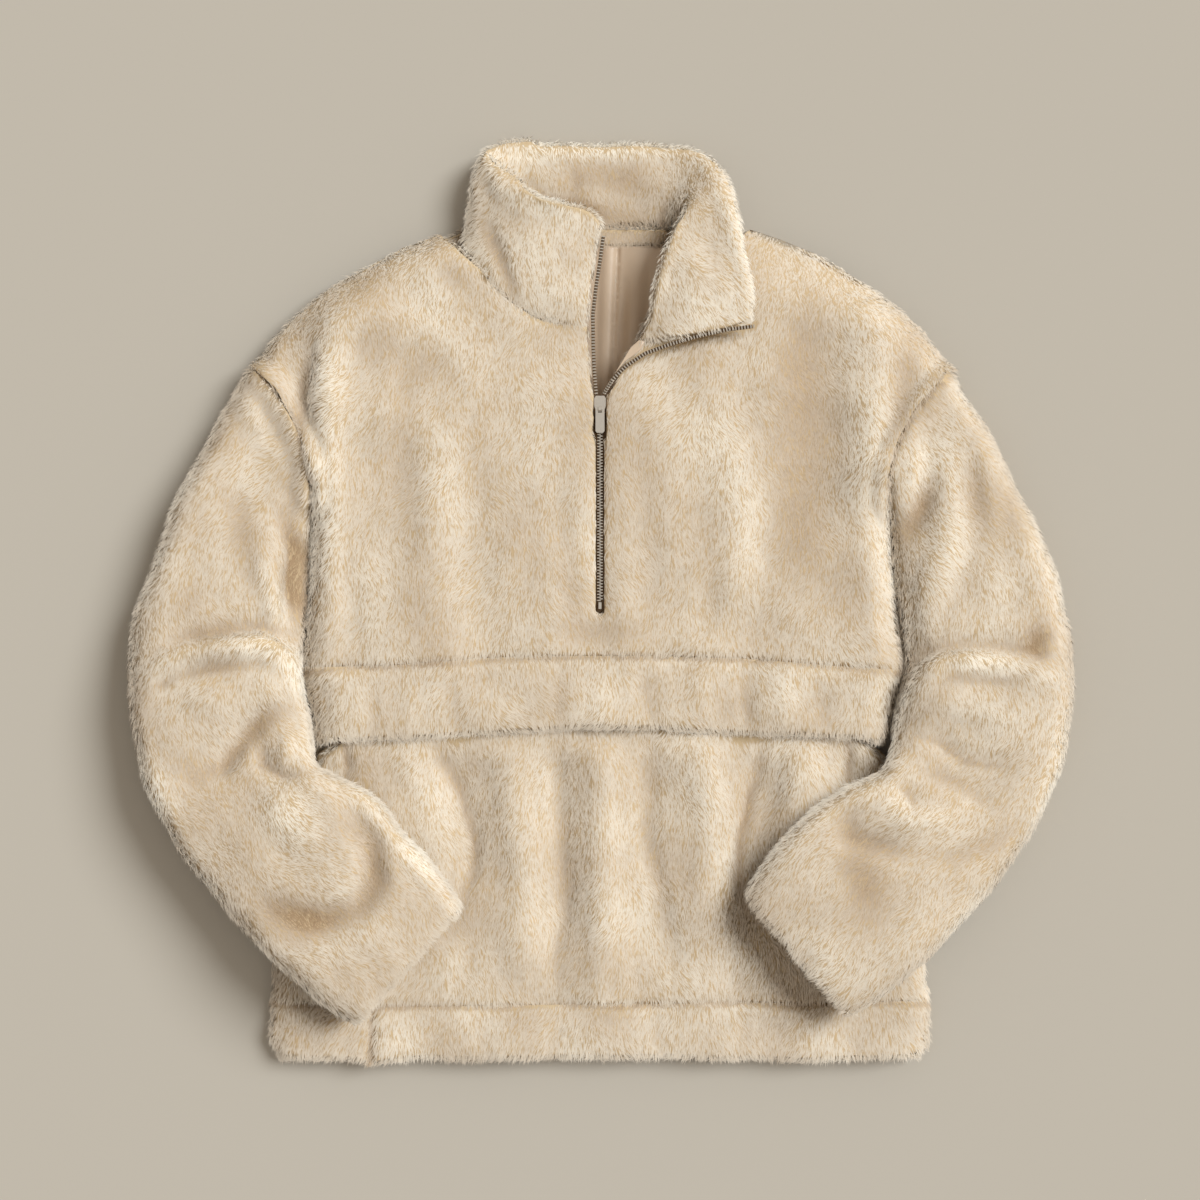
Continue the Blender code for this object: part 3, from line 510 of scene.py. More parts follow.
def add_mesh(name: str, vertices: Array, faces: Array, material: bpy.types.Material,
             smooth: bool = True) -> bpy.types.Object:
    """Add a mesh whose faces all have the same number of corners.

    Args:
        name: The object's name.
        vertices: Its points in metres.
        faces: Rows of corner indices.
        material: Its material.
        smooth: Whether it is shaded smooth.

    Returns:
        The new object.
    """
    mesh = bpy.data.meshes.new(name)
    corners = faces.shape[1]
    mesh.vertices.add(len(vertices))
    mesh.vertices.foreach_set("co", np.asarray(vertices, np.float32).ravel())
    mesh.loops.add(faces.size)
    mesh.loops.foreach_set("vertex_index", np.asarray(faces, np.int32).ravel())
    mesh.polygons.add(len(faces))
    mesh.polygons.foreach_set("loop_start", np.arange(0, faces.size, corners, dtype=np.int32))
    mesh.polygons.foreach_set("use_smooth", np.full(len(faces), smooth))
    mesh.update(calc_edges=True)
    mesh.materials.append(material)
    made = bpy.data.objects.new(name, mesh)
    bpy.context.scene.collection.objects.link(made)
    return made


def enrol(made: bpy.types.Object, slot: str, *nodes: str) -> None:
    """Put a piece in the garment's body.

    Args:
        made: The piece.
        slot: Not used.
        nodes: The solids it stands for.
    """
    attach(made, "garment")
    if nodes:
        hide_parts(*nodes)


def welded(node: str) -> bmesh.types.BMesh:
    """A solid's faces with their points welded."""
    work = bmesh.new()
    work.from_mesh(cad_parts[node].data)
    bmesh.ops.remove_doubles(work, verts=work.verts, dist=WELD)
    return work


def split(work: bmesh.types.BMesh, edges: Iterable[bmesh.types.BMEdge], longest: float,
          cuts: int = 1) -> None:
    """Split long edges and make triangles.

    Args:
        work: The mesh.
        edges: The edges that may be split.
        longest: The length that stays whole, in metres.
        cuts: How many cuts an edge gets.
    """
    long = [edge for edge in edges if edge.calc_length() > longest]
    bmesh.ops.subdivide_edges(work, edges=long, cuts=cuts, use_grid_fill=True)
    bmesh.ops.triangulate(work, faces=work.faces)


def arrays(work: bmesh.types.BMesh) -> Tuple[Array, Array]:
    """Take the points and triangles out of a mesh, and free it."""
    work.verts.index_update()
    vertices = np.array([vertex.co for vertex in work.verts])
    faces = np.array([[vertex.index for vertex in face.verts] for face in work.faces])
    work.free()
    return vertices, faces


def vertex_normals(vertices: Array, faces: Array) -> Array:
    """Average the faces' directions at their points.

    Args:
        vertices: All points.
        faces: The triangles that count.

    Returns:
        Unit normals at the points of those triangles, zero elsewhere.
    """
    a, b, c = (vertices[faces[:, k]] for k in range(3))
    cross = np.cross(b - a, c - a)
    total = np.zeros_like(vertices)
    for corner in range(3):
        np.add.at(total, faces[:, corner], cross)
    length = np.linalg.norm(total, axis=1)[:, None]
    return np.where(length > NO_AREA, total / np.maximum(length, NO_AREA), 0.0)


class Sight:
    """Tells which places of the garment can be seen from above or from the side."""

    REACH = 1.5
    LIFT = 0.0002
    GRAZING = 0.08
    LOOKS = ((50, 6), (14, 8))

    def __init__(self) -> None:
        """Gather every node of the frame into one tree of faces; LOOKS rows are rise and count."""
        vertices, faces, start = [], [], 0
        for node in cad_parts.values():
            mesh = node.data
            mesh.calc_loop_triangles()
            vertices += [v.co.copy() for v in mesh.vertices]
            faces += [tuple(start + i for i in t.vertices) for t in mesh.loop_triangles]
            start += len(mesh.vertices)
        self.tree = BVHTree.FromPolygons(vertices, faces)
        self.looks = [Vector((0, 0, 1))]
        for rise, count in self.LOOKS:
            for k in range(count):
                turn = 2 * pi * (k + 0.5) / count
                flat = cos(radians(rise))
                self.looks.append(Vector((flat * cos(turn), flat * sin(turn), sin(radians(rise)))))

    def seen(self, place: Vector, normal: Vector) -> bool:
        """Whether a look from outside reaches a face.

        Args:
            place: A place on the face.
            normal: The face's normal.

        Returns:
            Whether one does.
        """
        start = place + normal * self.LIFT
        for look in self.looks:
            if look.dot(normal) > self.GRAZING and self.tree.ray_cast(start, look, self.REACH)[0] is None:
                return True
        return False


# ---------------------------------------------------------------- fur


class Nap(Enum):
    """Which way the pile of a piece lies, as rows of (x, y, dx, dy) guides in millimetres."""

    DOWN = ((0, 0, 0.0, -1.0), (-250, 0, -0.12, -1.0), (250, 0, 0.12, -1.0))
    LEFT_SLEEVE = ((-265, 160, -0.7, -0.7), (-320, 60, -0.35, -0.94), (-335, -50, -0.05, -1.0),
                   (-330, -130, 0.35, -0.94), (-270, -220, 0.7, -0.7), (-180, -290, 0.74, -0.67))
    RIGHT_SLEEVE = tuple((-x, y, -dx, dy) for x, y, dx, dy in LEFT_SLEEVE)
    COLLAR = ((-60, 290, -0.1, -1.0), (0, 260, 0.0, -1.0), (0, 360, 0.05, -1.0), (90, 350, 0.5, -0.85),
              (90, 270, 0.55, -0.83), (-110, 350, -0.5, -0.86))

    def flow(self, points: Array) -> Array:
        """Direction of the nap at points, weighted from the nearest guides.

        Args:
            points: Rows of X, Y, Z in metres.

        Returns:
            Rows of level directions.
        """
        total = np.zeros((len(points), 3))
        for x, y, dx, dy in self.value:
            far = (points[:, 0] - x * MM) ** 2 + (points[:, 1] - y * MM) ** 2
            weight = 1 / (far + GUIDE_SOFTNESS) ** GUIDE_FALL
            total[:, 0] += weight * dx
            total[:, 1] += weight * dy
        return unit(total)


@dataclass(frozen=True)
class Join:
    """A line that the cloth's edge keeps to, and how far it is drawn toward it, in millimetres."""

    points: Line
    pull: float = 0.0
    width: float = 14.0

    def hold(self, points: Array) -> Tuple[Array, Array]:
        """How firmly the line holds points in plan.

        Args:
            points: Where, in millimetres.

        Returns:
            The hold from 0 to 1, and the shifts in X and Y, in millimetres.
        """
        nearest, _, toward = nearest_on(self.points, points)
        far = np.sqrt(nearest)
        hold = np.clip(1 - nearest / self.width ** 2, 0.0, 1.0)
        step = np.minimum(self.pull, far) * hold / np.maximum(far, TINY)
        return hold, toward * step[:, None]


@dataclass(frozen=True)
class Clearing:
    """A line that the pile keeps off, and its half width, in millimetres."""

    points: Line
    width: float

    def covers(self, points: Array) -> Array:
        """Whether points in metres lie over it."""
        return Stroke(self.points, self.width, 0.0, 0.0, 0.0).share(points / MM) > 0


@dataclass
class Pile:
    """The blades of pile on one piece: bent kites of two triangles, in millimetres and degrees."""

    density: float = 56.0
    length: float = 8.6
    width: float = 0.85
    base_lean: float = 44.0
    tip_lean: float = 72.0
    limit: int = 99000

    SUNK = 0.4
    LOWEST = 0.0003
    BEND = 0.46
    RISE = 0.3
    SWIRL_SPREAD = 9.0
    ROLL_SPREAD = 34.0
    LEAN_SPREAD = 8.0
    FALL_SPREAD = 9.0
    LENGTH_SPREAD = 0.12
    LENGTHS = (0.6, 1.35)
    WIDTHS = (0.7, 1.25)
    TUFT_LENGTH = 0.05
    TUFT_LEAN = 3.0
    TUFT_TONE = 0.015
    TONE_SPREAD = 0.035
    FACING = 0.35
    FORM_SHARE = 0.84
    BLADE_SHARE = 0.06
    NORMAL_SPREAD = 0.03
    LIFTED = 0.34
    STEEP = 0.7
    STEEP_LIFT = 4.0
    TIP_TURN = 0.12
    SWIRLS = ((7, 0.075, 20), (8, 0.022, 12), (9, 0.007, 4))
    TUFTS = ((10, 0.012, 1.0), (11, 0.03, 0.6))
    CLOUDS = (20, 0.07, 0.08)
    TONES = (0.04, 0.96)
    MAP_ALONG = (0.02, 0.46, 0.46, 0.98)
    MAP_ACROSS = (0.0, -0.012, 0.012, 0.0)

    def grow(self, cloth: "FurPiece", vertices: Array, faces: Array,
             fur: bpy.types.Material) -> bpy.types.Object:
        """Grow the blades from the faces that show.

        Args:
            cloth: The piece they grow on.
            vertices: Its shell's points.
            faces: The triangles that show.
            fur: The pile's material.

        Returns:
            The mesh of blades.
        """
        draw = np.random.default_rng(cloth.seed)
        root, normal = self.scatter(vertices, faces, draw)
        count = len(root)
        lay = self.lay(cloth, root, normal, draw)
        side = unit(np.cross(normal, lay))
        roll = np.radians(draw.normal(0, self.ROLL_SPREAD, count))[:, None]
        edge = side * np.cos(roll) + normal * np.sin(roll)
        tuft = ripples(cloth.seed, self.TUFTS, root)
        length = draw.normal(1, self.LENGTH_SPREAD, count).clip(*self.LENGTHS)
        length = (self.length * (1 + self.TUFT_LENGTH * tuft) * length)[:, None] * MM
        lean = self.base_lean + self.TUFT_LEAN * tuft + draw.normal(0, self.LEAN_SPREAD, count)
        fall = self.tip_lean + self.TUFT_LEAN * tuft + draw.normal(0, self.FALL_SPREAD, count)
        lean, fall = np.radians(lean)[:, None], np.radians(fall)[:, None]
        width = (self.width * draw.uniform(*self.WIDTHS, count))[:, None] * MM / 2
        start = root - normal * self.SUNK * MM
        middle = start + length * self.BEND * (normal * np.cos(lean) + lay * np.sin(lean))
        tip = middle + length * (1 - self.BEND) * (normal * np.cos(fall) + lay * np.sin(fall))
        corners = np.stack([start, middle - edge * width, middle + edge * width, tip], axis=1)
        corners[:, :, 2] = np.maximum(corners[:, :, 2], self.LOWEST)
        keep = np.ones(count, bool)
        for clearing in cloth.clearings:
            keep &= ~(clearing.covers(corners[:, 3]) | clearing.covers(corners[:, 1]))
        corners, root, normal, lay, edge, tuft = (v[keep] for v in (corners, root, normal, lay, edge, tuft))

        outward = normal * self.FACING + UP
        made = add_mesh("fur_" + cloth.node, corners.reshape(-1, 3), self.wind(corners, outward), fur)
        # The tone sums the piece's base, random clouds, tufts and spread, and the strokes' painted shade in
        # troughs and painted light on ridges.
        tone = cloth.tone + ripples(cloth.seed, (self.CLOUDS,), root) + cloth.shade_and_tone_at(root)
        tone += self.TUFT_TONE * tuft + draw.normal(0, self.TONE_SPREAD, len(root))
        self.map_blades(made.data, tone.clip(*self.TONES))
        crown = np.cross(edge, lay)
        crown[(crown * outward).sum(axis=1) < 0] *= -1
        self.soften(made.data, normal, crown, lay, draw)
        made.visible_shadow = False
        enrol(made, "fur")
        return made

    def scatter(self, vertices: Array, faces: Array, draw: np.random.Generator) -> Tuple[Array, Array]:
        """Choose roots evenly over the cloth.

        Args:
            vertices: The shell's points.
            faces: The triangles that show.
            draw: The random source.

        Returns:
            The roots and the cloth's normals there.
        """
        a, b, c = (vertices[faces[:, k]] for k in range(3))
        size = np.linalg.norm(np.cross(b - a, c - a), axis=1) / 2
        count = int(min(self.limit, size.sum() * CM2_PER_M2 * self.density))
        pick = draw.choice(len(faces), count, p=size / size.sum())
        s, t = draw.random(count), draw.random(count)
        over = s + t > 1
        s[over], t[over] = 1 - s[over], 1 - t[over]
        weights = np.stack([1 - s - t, s, t], axis=1)[:, :, None]
        normals = vertex_normals(vertices, faces)
        root = (vertices[faces[pick]] * weights).sum(axis=1)
        return root, unit((normals[faces[pick]] * weights).sum(axis=1))

    def lay(self, cloth: "FurPiece", root: Array, normal: Array, draw: np.random.Generator) -> Array:
        """The direction each blade lies in along the cloth, in soft swirls about the nap.

        Args:
            cloth: The piece.
            root: The roots.
            normal: The cloth's normals there.
            draw: The random source.

        Returns:
            Unit directions along the cloth.
        """
        flow = cloth.nap.flow(root)
        flow[:, 2] = self.RISE * (1 - np.abs(normal[:, 2]))
        swirl = ripples(cloth.seed, self.SWIRLS, root)
        turn = np.radians(swirl + draw.normal(0, self.SWIRL_SPREAD, len(root)))
        flow = np.stack([flow[:, 0] * np.cos(turn) - flow[:, 1] * np.sin(turn),
                         flow[:, 0] * np.sin(turn) + flow[:, 1] * np.cos(turn), flow[:, 2]], axis=1)
        return unit(flow - normal * (flow * normal).sum(axis=1)[:, None])

    def soften(self, mesh: bpy.types.Mesh, normal: Array, crown: Array, lay: Array,
               draw: np.random.Generator) -> None:
        """Shade blades by the cloth's own form rather than as flat scraps, brighter on steep cloth.

        Args:
            mesh: The mesh of blades.
            normal: The cloth's normal under each blade.
            crown: The blade's own normal.
            lay: The direction it lies in.
            draw: The random source.
        """
        soft = normal * self.FORM_SHARE + unit(crown) * self.BLADE_SHARE
        soft = unit(soft + draw.normal(0, self.NORMAL_SPREAD, normal.shape))
        soft = unit(soft + UP * self.LIFTED)
        steep = np.clip(self.STEEP - normal[:, 2], 0.0, self.STEEP)[:, None]
        soft = unit(soft + UP * steep * self.STEEP_LIFT)
        shading = np.stack([soft, soft, soft, unit(soft + lay * self.TIP_TURN)], axis=1).reshape(-1, 3)
        mesh.normals_split_custom_set_from_vertices([tuple(n) for n in shading])

    @staticmethod
    def wind(corners: Array, outward: Array) -> Array:
        """Turn both triangles of every blade to face outward.

        Args:
            corners: Four points a blade.
            outward: The side each blade is seen from.

        Returns:
            Rows of corner indices, two to a blade.
        """
        index = np.arange(len(corners)) * 4
        halves = []
        for half in ((0, 2, 1), (1, 2, 3)):
            first, second, third = (corners[:, k] for k in half)
            away = (np.cross(second - first, third - first) * outward).sum(axis=1) < 0
            back = np.array((half[0], half[2], half[1]))
            halves.append(index[:, None] + np.where(away[:, None], back, np.array(half)))
        return np.stack(halves, axis=1).reshape(-1, 3)

    def map_blades(self, mesh: bpy.types.Mesh, tone: Array) -> None:
        """Map each blade: its length across the map, its tone up it.

        Args:
            mesh: The mesh of blades.
            tone: The tone of each blade.
        """
        blade = np.zeros((len(tone), 4, 2), np.float32)
        blade[:, :, 0] = self.MAP_ALONG
        blade[:, :, 1] = tone[:, None] + np.array(self.MAP_ACROSS)
        corner = np.zeros(len(mesh.loops), np.int32)
        mesh.loops.foreach_get("vertex_index", corner)
        layer = mesh.uv_layers.new(name=BAKE_MAP)
        layer.data.foreach_set("uv", blade.reshape(-1, 2)[corner].ravel())


@dataclass
class FurPiece:
    """One cut piece of fur fabric: a creased shell on its solid's form, with its pile."""

    node: str
    flat: Tuple[float, float]
    nap: Nap = Nap.DOWN
    strokes: List[Stroke] = field(default_factory=list)
    fills: List[Stroke] = field(default_factory=list)
    joins: List[Join] = field(default_factory=list)
    clearings: List[Clearing] = field(default_factory=list)
    rests_on: Tuple[str, ...] = (FLOOR,)
    pile: Pile = field(default_factory=Pile)
    inset: float = 3.4
    tone: float = 0.64
    seed: int = 1
    widest: float = 0.06
    cuts: int = 1

    FINE = 0.0045
    SPLITS = 2
    ROUNDS = 10
    EASE = 0.55
    ROUGH = (40, 0.055, 1.1)
    PROBES = 8
    PROBE_REACH = 0.012
    WALL_SLACK = 3.0
    LOWEST = 0.0002
    # Tone per millimetre of lift: painted shade darkens troughs to tan, painted light makes ridges cream.
    TROUGH_SHADE = 0.018
    RIDGE_LIGHT = 0.012

    def build(self, sight: Sight, ground: bpy.types.Material,
              fur: bpy.types.Material) -> List[bpy.types.Object]:
        """Make the shell and its pile.

        Args:
            sight: Tells what is seen.
            ground: The fabric's material.
            fur: The pile's material.

        Returns:
            The shell and the pile.
        """
        vertices, faces, shown = self.refined_form(sight)
        vertices = self.smoothed(vertices, faces, shown)
        normals = vertex_normals(vertices, faces[shown])
        weight = np.linalg.norm(normals, axis=1).round()
        lift = self.lift_at(self.strokes, vertices)
        rough = ripples(self.seed, (self.ROUGH,), vertices)
        offset = normals * ((lift + rough - self.inset) * weight)[:, None]
        for join in self.joins:
            hold, shift = join.hold(vertices / MM)
            offset[:, :2] *= (1 - hold)[:, None]
            offset[:, :2] += shift * weight[:, None]
        vertices = vertices + offset * MM
        vertices[:, 2] += self.lift_at(self.fills, vertices) * weight * MM
        vertices[:, 2] += self.sink_at(vertices) * (1 - weight) * MM
        vertices[:, 2] = np.maximum(vertices[:, 2], self.LOWEST)
        shell = add_mesh("shell_" + self.node, vertices, faces, ground)
        enrol(shell, "fur", self.node)
        pile = self.pile.grow(self, vertices, faces[shown], fur)
        return [shell, pile]

    def refined_form(self, sight: Sight) -> Tuple[Array, Array, Array]:
        """Weld the solid's faces and split those that show.

        Args:
            sight: Tells what is seen.

        Returns:
            Points, triangles, and which triangles show.
        """
        work = welded(self.node)
        split(work, work.edges, self.widest, self.cuts)
        work.normal_update()
        for face in work.faces:
            face.material_index = int(sight.seen(face.calc_center_median(), face.normal))
        for _ in range(self.SPLITS):
            edges = {edge for face in work.faces if face.material_index for edge in face.edges}
            split(work, edges, self.FINE)
        shown = np.array([bool(face.material_index) for face in work.faces])
        return (*arrays(work), shown)

    def smoothed(self, vertices: Array, faces: Array, shown: Array) -> Array:
        """Ease the facets and edges away where the cloth shows.

        Args:
            vertices: The points.
            faces: The triangles.
            shown: Which triangles show.

        Returns:
            The moved points.
        """
        edges = np.concatenate([faces[:, (0, 1)], faces[:, (1, 2)], faces[:, (2, 0)]])
        keys = np.unique(np.sort(edges, axis=1), axis=0)
        free = np.zeros(len(vertices), bool)
        free[faces[shown].ravel()] = True
        free[faces[~shown].ravel()] = False
        for _ in range(self.ROUNDS):
            total = np.zeros_like(vertices)
            count = np.zeros(len(vertices))
            for a, b in ((0, 1), (1, 0)):
                np.add.at(total, keys[:, a], vertices[keys[:, b]])
                np.add.at(count, keys[:, a], 1)
            mean = total / np.maximum(count, 1)[:, None]
            vertices = np.where(free[:, None], vertices * (1 - self.EASE) + mean * self.EASE, vertices)
        return vertices

    @staticmethod
    def lift_at(strokes: Sequence[Stroke], points: Array) -> Array:
        """Add up the lift of some strokes.

        Args:
            strokes: The strokes.
            points: Where, in metres.

        Returns:
            The lift at each point, in millimetres.
        """
        total = np.zeros(len(points))
        for stroke in strokes:
            total += stroke.lift * stroke.share(points / MM)
        return total

    def sink_at(self, points: Array) -> Array:
        """How far the unseen walls drop to stay under the troughs near them, in millimetres.

        Args:
            points: The shell's points, in metres.

        Returns:
            The drop at each point, zero or negative.
        """
        drop = np.zeros(len(points))
        for turn in range(self.PROBES):
            angle = 2 * pi * turn / self.PROBES
            near = points + np.array((cos(angle), sin(angle), 0.0)) * self.PROBE_REACH
            drop = np.minimum(drop, self.lift_at(self.strokes, near) + self.WALL_SLACK)
        return drop

    def shade_and_tone_at(self, points: Array) -> Array:
        """Add up the tone of the piece's strokes: painted shade makes troughs tan and painted light makes
        ridges cream.

        Args:
            points: Where, in metres.

        Returns:
            The tone at each point.
        """
        total = np.zeros(len(points))
        for stroke in self.strokes:
            # Painted shade in troughs and painted light on ridges, added to each stroke's own tone.
            relief_light_and_shade = self.TROUGH_SHADE * min(stroke.lift, 0.0) + self.RIDGE_LIGHT * max(stroke.lift, 0.0)
            total += (stroke.tone + relief_light_and_shade) * stroke.share(points / MM)
        return total


# ---------------------------------------------------------------- satin, zip


def resample(path: Path, step: float) -> Tuple[Array, Array, Array]:
    """Even places along a path.

    Args:
        path: Its points, in millimetres.
        step: The spacing, in millimetres.

    Returns:
        The points, and the unit directions ahead and across there.
    """
    points = np.array(path, float)
    runs = np.linalg.norm(np.diff(points, axis=0), axis=1)
    marks = np.concatenate([[0], np.cumsum(runs)])
    places = np.arange(step / 2, marks[-1], step)
    reach = LOOK_AHEAD * step
    at, after, before = (np.stack([np.interp(places + shift, marks, points[:, k]) for k in range(3)], axis=1)
                         for shift in (0.0, reach, -reach))
    ahead = unit(after - before)
    return at, ahead, unit(np.cross(ahead, UP))


def tube(rings: int, sides: int) -> List[Tuple[int, int, int, int]]:
    """List the faces of a tube.

    Args:
        rings: How many rings of points it has.
        sides: How many points a ring has.

    Returns:
        Four corner indices to a face.
    """
    faces = []
    for start in range(0, (rings - 1) * sides, sides):
        for k in range(sides):
            low, far = start + k, start + (k + 1) % sides
            faces.append((low, far, far + sides, low + sides))
    return faces


@dataclass
class SatinPiece:
    """A thin woven piece on a solid's outline, with soft folds of its own."""

    node: str
    flat: Tuple[float, float]
    folds: List[Stroke] = field(default_factory=list)
    area: Optional[float] = None
    slot: str = "satin"
    splits: int = 2
    rests_on: str = "shell_upper_back"

    FINE = 0.003

    def build(self, material: bpy.types.Material) -> bpy.types.Object:
        """Make the piece from its solid's own faces, split finely and folded.

        Args:
            material: The cloth.

        Returns:
            The piece.
        """
        work = welded(self.node)
        for _ in range(self.splits):
            split(work, work.edges, self.FINE)
        vertices, faces = arrays(work)
        for fold in self.folds:
            vertices[:, 2] += fold.lift * fold.share(vertices / MM) * MM
        made = add_mesh(self.slot + "_" + self.node, vertices, faces, material)
        enrol(made, self.slot, self.node)
        return made


@dataclass
class Teeth:
    """A row of metal zip teeth along a path, each a rounded block with a chamfered crown."""

    name: str
    path: Path
    node: str
    interlocked: bool = False
    pitch: float = 2.55
    wide: float = 3.3
    thick: float = 1.2
    tall: float = 2.5
    stagger: float = 0.9

    CORNERS = 8
    SQUARENESS = 0.45
    LEVELS = ((0.86, -0.5), (1.0, -0.25), (1.0, 0.25), (0.78, 0.5))

    def block(self) -> Tuple[Array, Array]:
        """Make one tooth; LEVELS rows are a ring's scale and its share of the height.

        Returns:
            Points across, along and up, and triangles.
        """
        count = self.CORNERS
        turn = 2 * pi * (np.arange(count) + 0.5) / count
        ring = np.stack([np.sign(wave) * np.abs(wave) ** self.SQUARENESS * size / 2
                         for wave, size in ((np.cos(turn), self.wide), (np.sin(turn), self.thick))], axis=1)
        points = np.concatenate([np.column_stack([ring * scale, np.full(count, share * self.tall)])
                                 for scale, share in self.LEVELS])
        faces = []
        for a, b, c, d in tube(len(self.LEVELS), count):
            faces += [(a, b, c), (a, c, d)]
        top = (len(self.LEVELS) - 1) * count
        for k in range(1, count - 1):
            faces += [(top, top + k, top + k + 1), (0, k + 1, k)]
        return points, np.array(faces)

    def build(self, material: bpy.types.Material) -> bpy.types.Object:
        """Make the row.

        Args:
            material: The metal.

        Returns:
            The row as one mesh.
        """
        points, faces = self.block()
        at, ahead, across = resample(self.path, self.pitch / 2 if self.interlocked else self.pitch)
        up = np.cross(across, ahead)
        if self.interlocked:
            side = np.where(np.arange(len(at)) % 2 == 0, self.stagger, -self.stagger)
            at = at + across * side[:, None]
        placed = (at[:, None] + points[None, :, :1] * across[:, None] + points[None, :, 1:2] * ahead[:, None]
                  + points[None, :, 2:] * up[:, None])
        index = np.arange(len(at))[:, None, None] * len(points)
        made = add_mesh(self.name, placed.reshape(-1, 3) * MM, (faces[None] + index).reshape(-1, 3),
                        material, smooth=False)
        enrol(made, "steel", self.node)
        return made


@dataclass
class Edging:
    """The folded tape edge that an open row of teeth is clamped on."""

    name: str
    path: Path
    wide: float = 3.2
    thick: float = 0.8
    drop: float = 1.5

    STEP = 3.0
    SIDES = 10
    CUT = 0.01

    def build(self, material: bpy.types.Material) -> bpy.types.Object:
        """Make the ribbon.

        Args:
            material: The tape.

        Returns:
            The ribbon.
        """
        at, _, across = resample(self.path, self.STEP)
        at = at - UP * self.drop
        turns = 2 * pi * np.arange(self.SIDES) / self.SIDES
        ring = [at + across * (cos(t) * self.wide / 2) + UP * (sin(t) * self.thick / 2) for t in turns]
        points = np.stack(ring, axis=1).reshape(-1, 3)
        made = add_mesh(self.name, points * MM, np.array(tube(len(at), self.SIDES)), material)
        enrol(made, "tape")
        return made


# ---------------------------------------------------------------- creases


def seam(points: Line, lift: float = -2.6, tone: float = -0.34) -> Stroke:
    """A sewn seam: a narrow trough through the points."""
    return Stroke(points, SEAM_WIDTH, lift, tone, fade=0.0)


def filling(points: Line, lift: float) -> Stroke:
    """Cloth pressed up over a sunken seam, by a lift in millimetres."""
    return Stroke(points, FILLING_WIDTH, lift, fade=0.0)


def strokes(*rows: Tuple[Line, float, float, float]) -> List[Stroke]:
    """Strokes from rows of points, width, lift and tone."""
    return [Stroke(*row) for row in rows]


def plan(path: Path) -> Line:
    """A path as seen from above."""
    return tuple((x, y) for x, y, _ in path)


BAND_SEAM = ((-252, -59), (-241, -58), (-169, -52), (-111, -50), (-19, -45), (65, -46), (157, -51),
             (233, -58), (258, -60))
HEM_SEAM = ((-281, -340), (-255, -342), (-194, -343), (-136, -342), (-85, -345), (-34, -340), (17, -344),
            (93, -339), (161, -343), (221, -340), (282, -341))
HEM_JOIN = ((-194, -345), (-193, -366), (-195, -393))
LEFT_ARMHOLE = ((-297, 199), (-273, 178), (-255, 144), (-244, 112), (-243, 85))
RIGHT_ARMHOLE = ((299, 197), (281, 179), (265, 161), (251, 136), (244, 115), (242, 85))
LEFT_SIDE = ((-243, 96), (-245, 14), (-251, -39), (-252, -59), (-243, -121))
RIGHT_SIDE = ((242, 96), (249, 47), (253, -17), (257, -62), (237, -120))
COLLAR_SEAM = ((-125, 302), (-113, 292), (-99, 276), (-90, 264), (-76, 252), (-62, 243), (-52, 237),
               (-37, 233), (-7, 231))
BACK_NECK_SEAM = ((-34, 315), (0, 316), (57, 316))
COLLAR_RIM = ((-68, 364), (-65, 347), (-51, 337), (-30, 332), (-9, 329), (1, 318))
LAPEL_END = ((32, 215), (42, 210), (59, 215), (79, 221), (106, 227), (125, 235))
COLLAR_TOP = ((-108, 348), (-104, 367), (-96, 382), (-82, 390), (-60, 393))
# Stroke rows: points, width, lift, tone. Negative tones paint shade (tan) into troughs and hollows, positive
# tones paint light (cream) onto ridges; partly this is the tan of pile parting in the creases.
CHEST_STROKES = strokes(
    (((-167, 240), (-197, 244), (-221, 230), (-230, 179), (-233, 130), (-230, 74), (-235, 20),
     (-238, -34)), 22, 4.5, 0.16),
    (((-245, 217), (-252, 174), (-254, 130)), 13, -4.5, -0.24),
    (((-217, 221), (-163, 212), (-167, 142), (-162, 43)), 20, -3, -0.03),
    (((-153, 211), (-132, 194)), 22, -1.5, -0.16),
    (((-108, 153), (-102, 85), (-111, 0)), 18, -1.8, -0.02),
    (((-34, 110), (-29, 34), (-24, -34)), 16, -2, -0.1),
    (((-34, -27), (34, -24)), 18, -2, -0.16),
    (((34, 144), (42, 51), (34, -34)), 20, -2, -0.02),
    (((98, 34), (85, -34)), 18, -2.5, -0.05),
    (((180, 234), (171, 188), (170, 128), (167, 79), (161, 0)), 40, -1, -0.26),
    (((226, 240), (222, 201), (224, 133), (227, 85), (234, 34), (241, -17)), 27, 2, 0.24),
    (((261, 225), (255, 183), (244, 136)), 18, -3, -0.3),
    (((180, 255), (170, 221), (163, 178)), 30, -1, -0.16),
    (((-136, 287), (-118, 262)), 16, -2, -0.16),
    (((-213, 34), (-204, -42)), 16, -2.4, -0.03),
    (((-68, 68), (-85, 0)), 18, 2, 0.03),
    (((-136, 136), (-136, 34)), 22, 2.5, 0.04),
    (((102, 187), (114, 68), (119, -17)), 26, 2.6, 0.05),
)
BAND_STROKES = strokes(
    (((-194, -65), (-191, -116)), 11, -2.4, -0.05),
    (((-128, -58), (-119, -114)), 12, -2.2, -0.06),
    (((-34, -53), (-38, -109)), 12, -2, -0.08),
    (((34, -51), (46, -109)), 12, -2.4, -0.08),
    (((122, -58), (126, -112)), 10, -3.4, -0.1),
    (((180, -61), (192, -116)), 11, -2.2, -0.05),
    (((-162, -61), (-159, -116)), 12, 1.8, 0.03),
    (((0, -54), (5, -109)), 12, 1.6, 0.02),
    (((85, -54), (88, -110)), 12, 2, 0.03),
    (((153, -58), (158, -114)), 12, 1.8, 0.03),
)
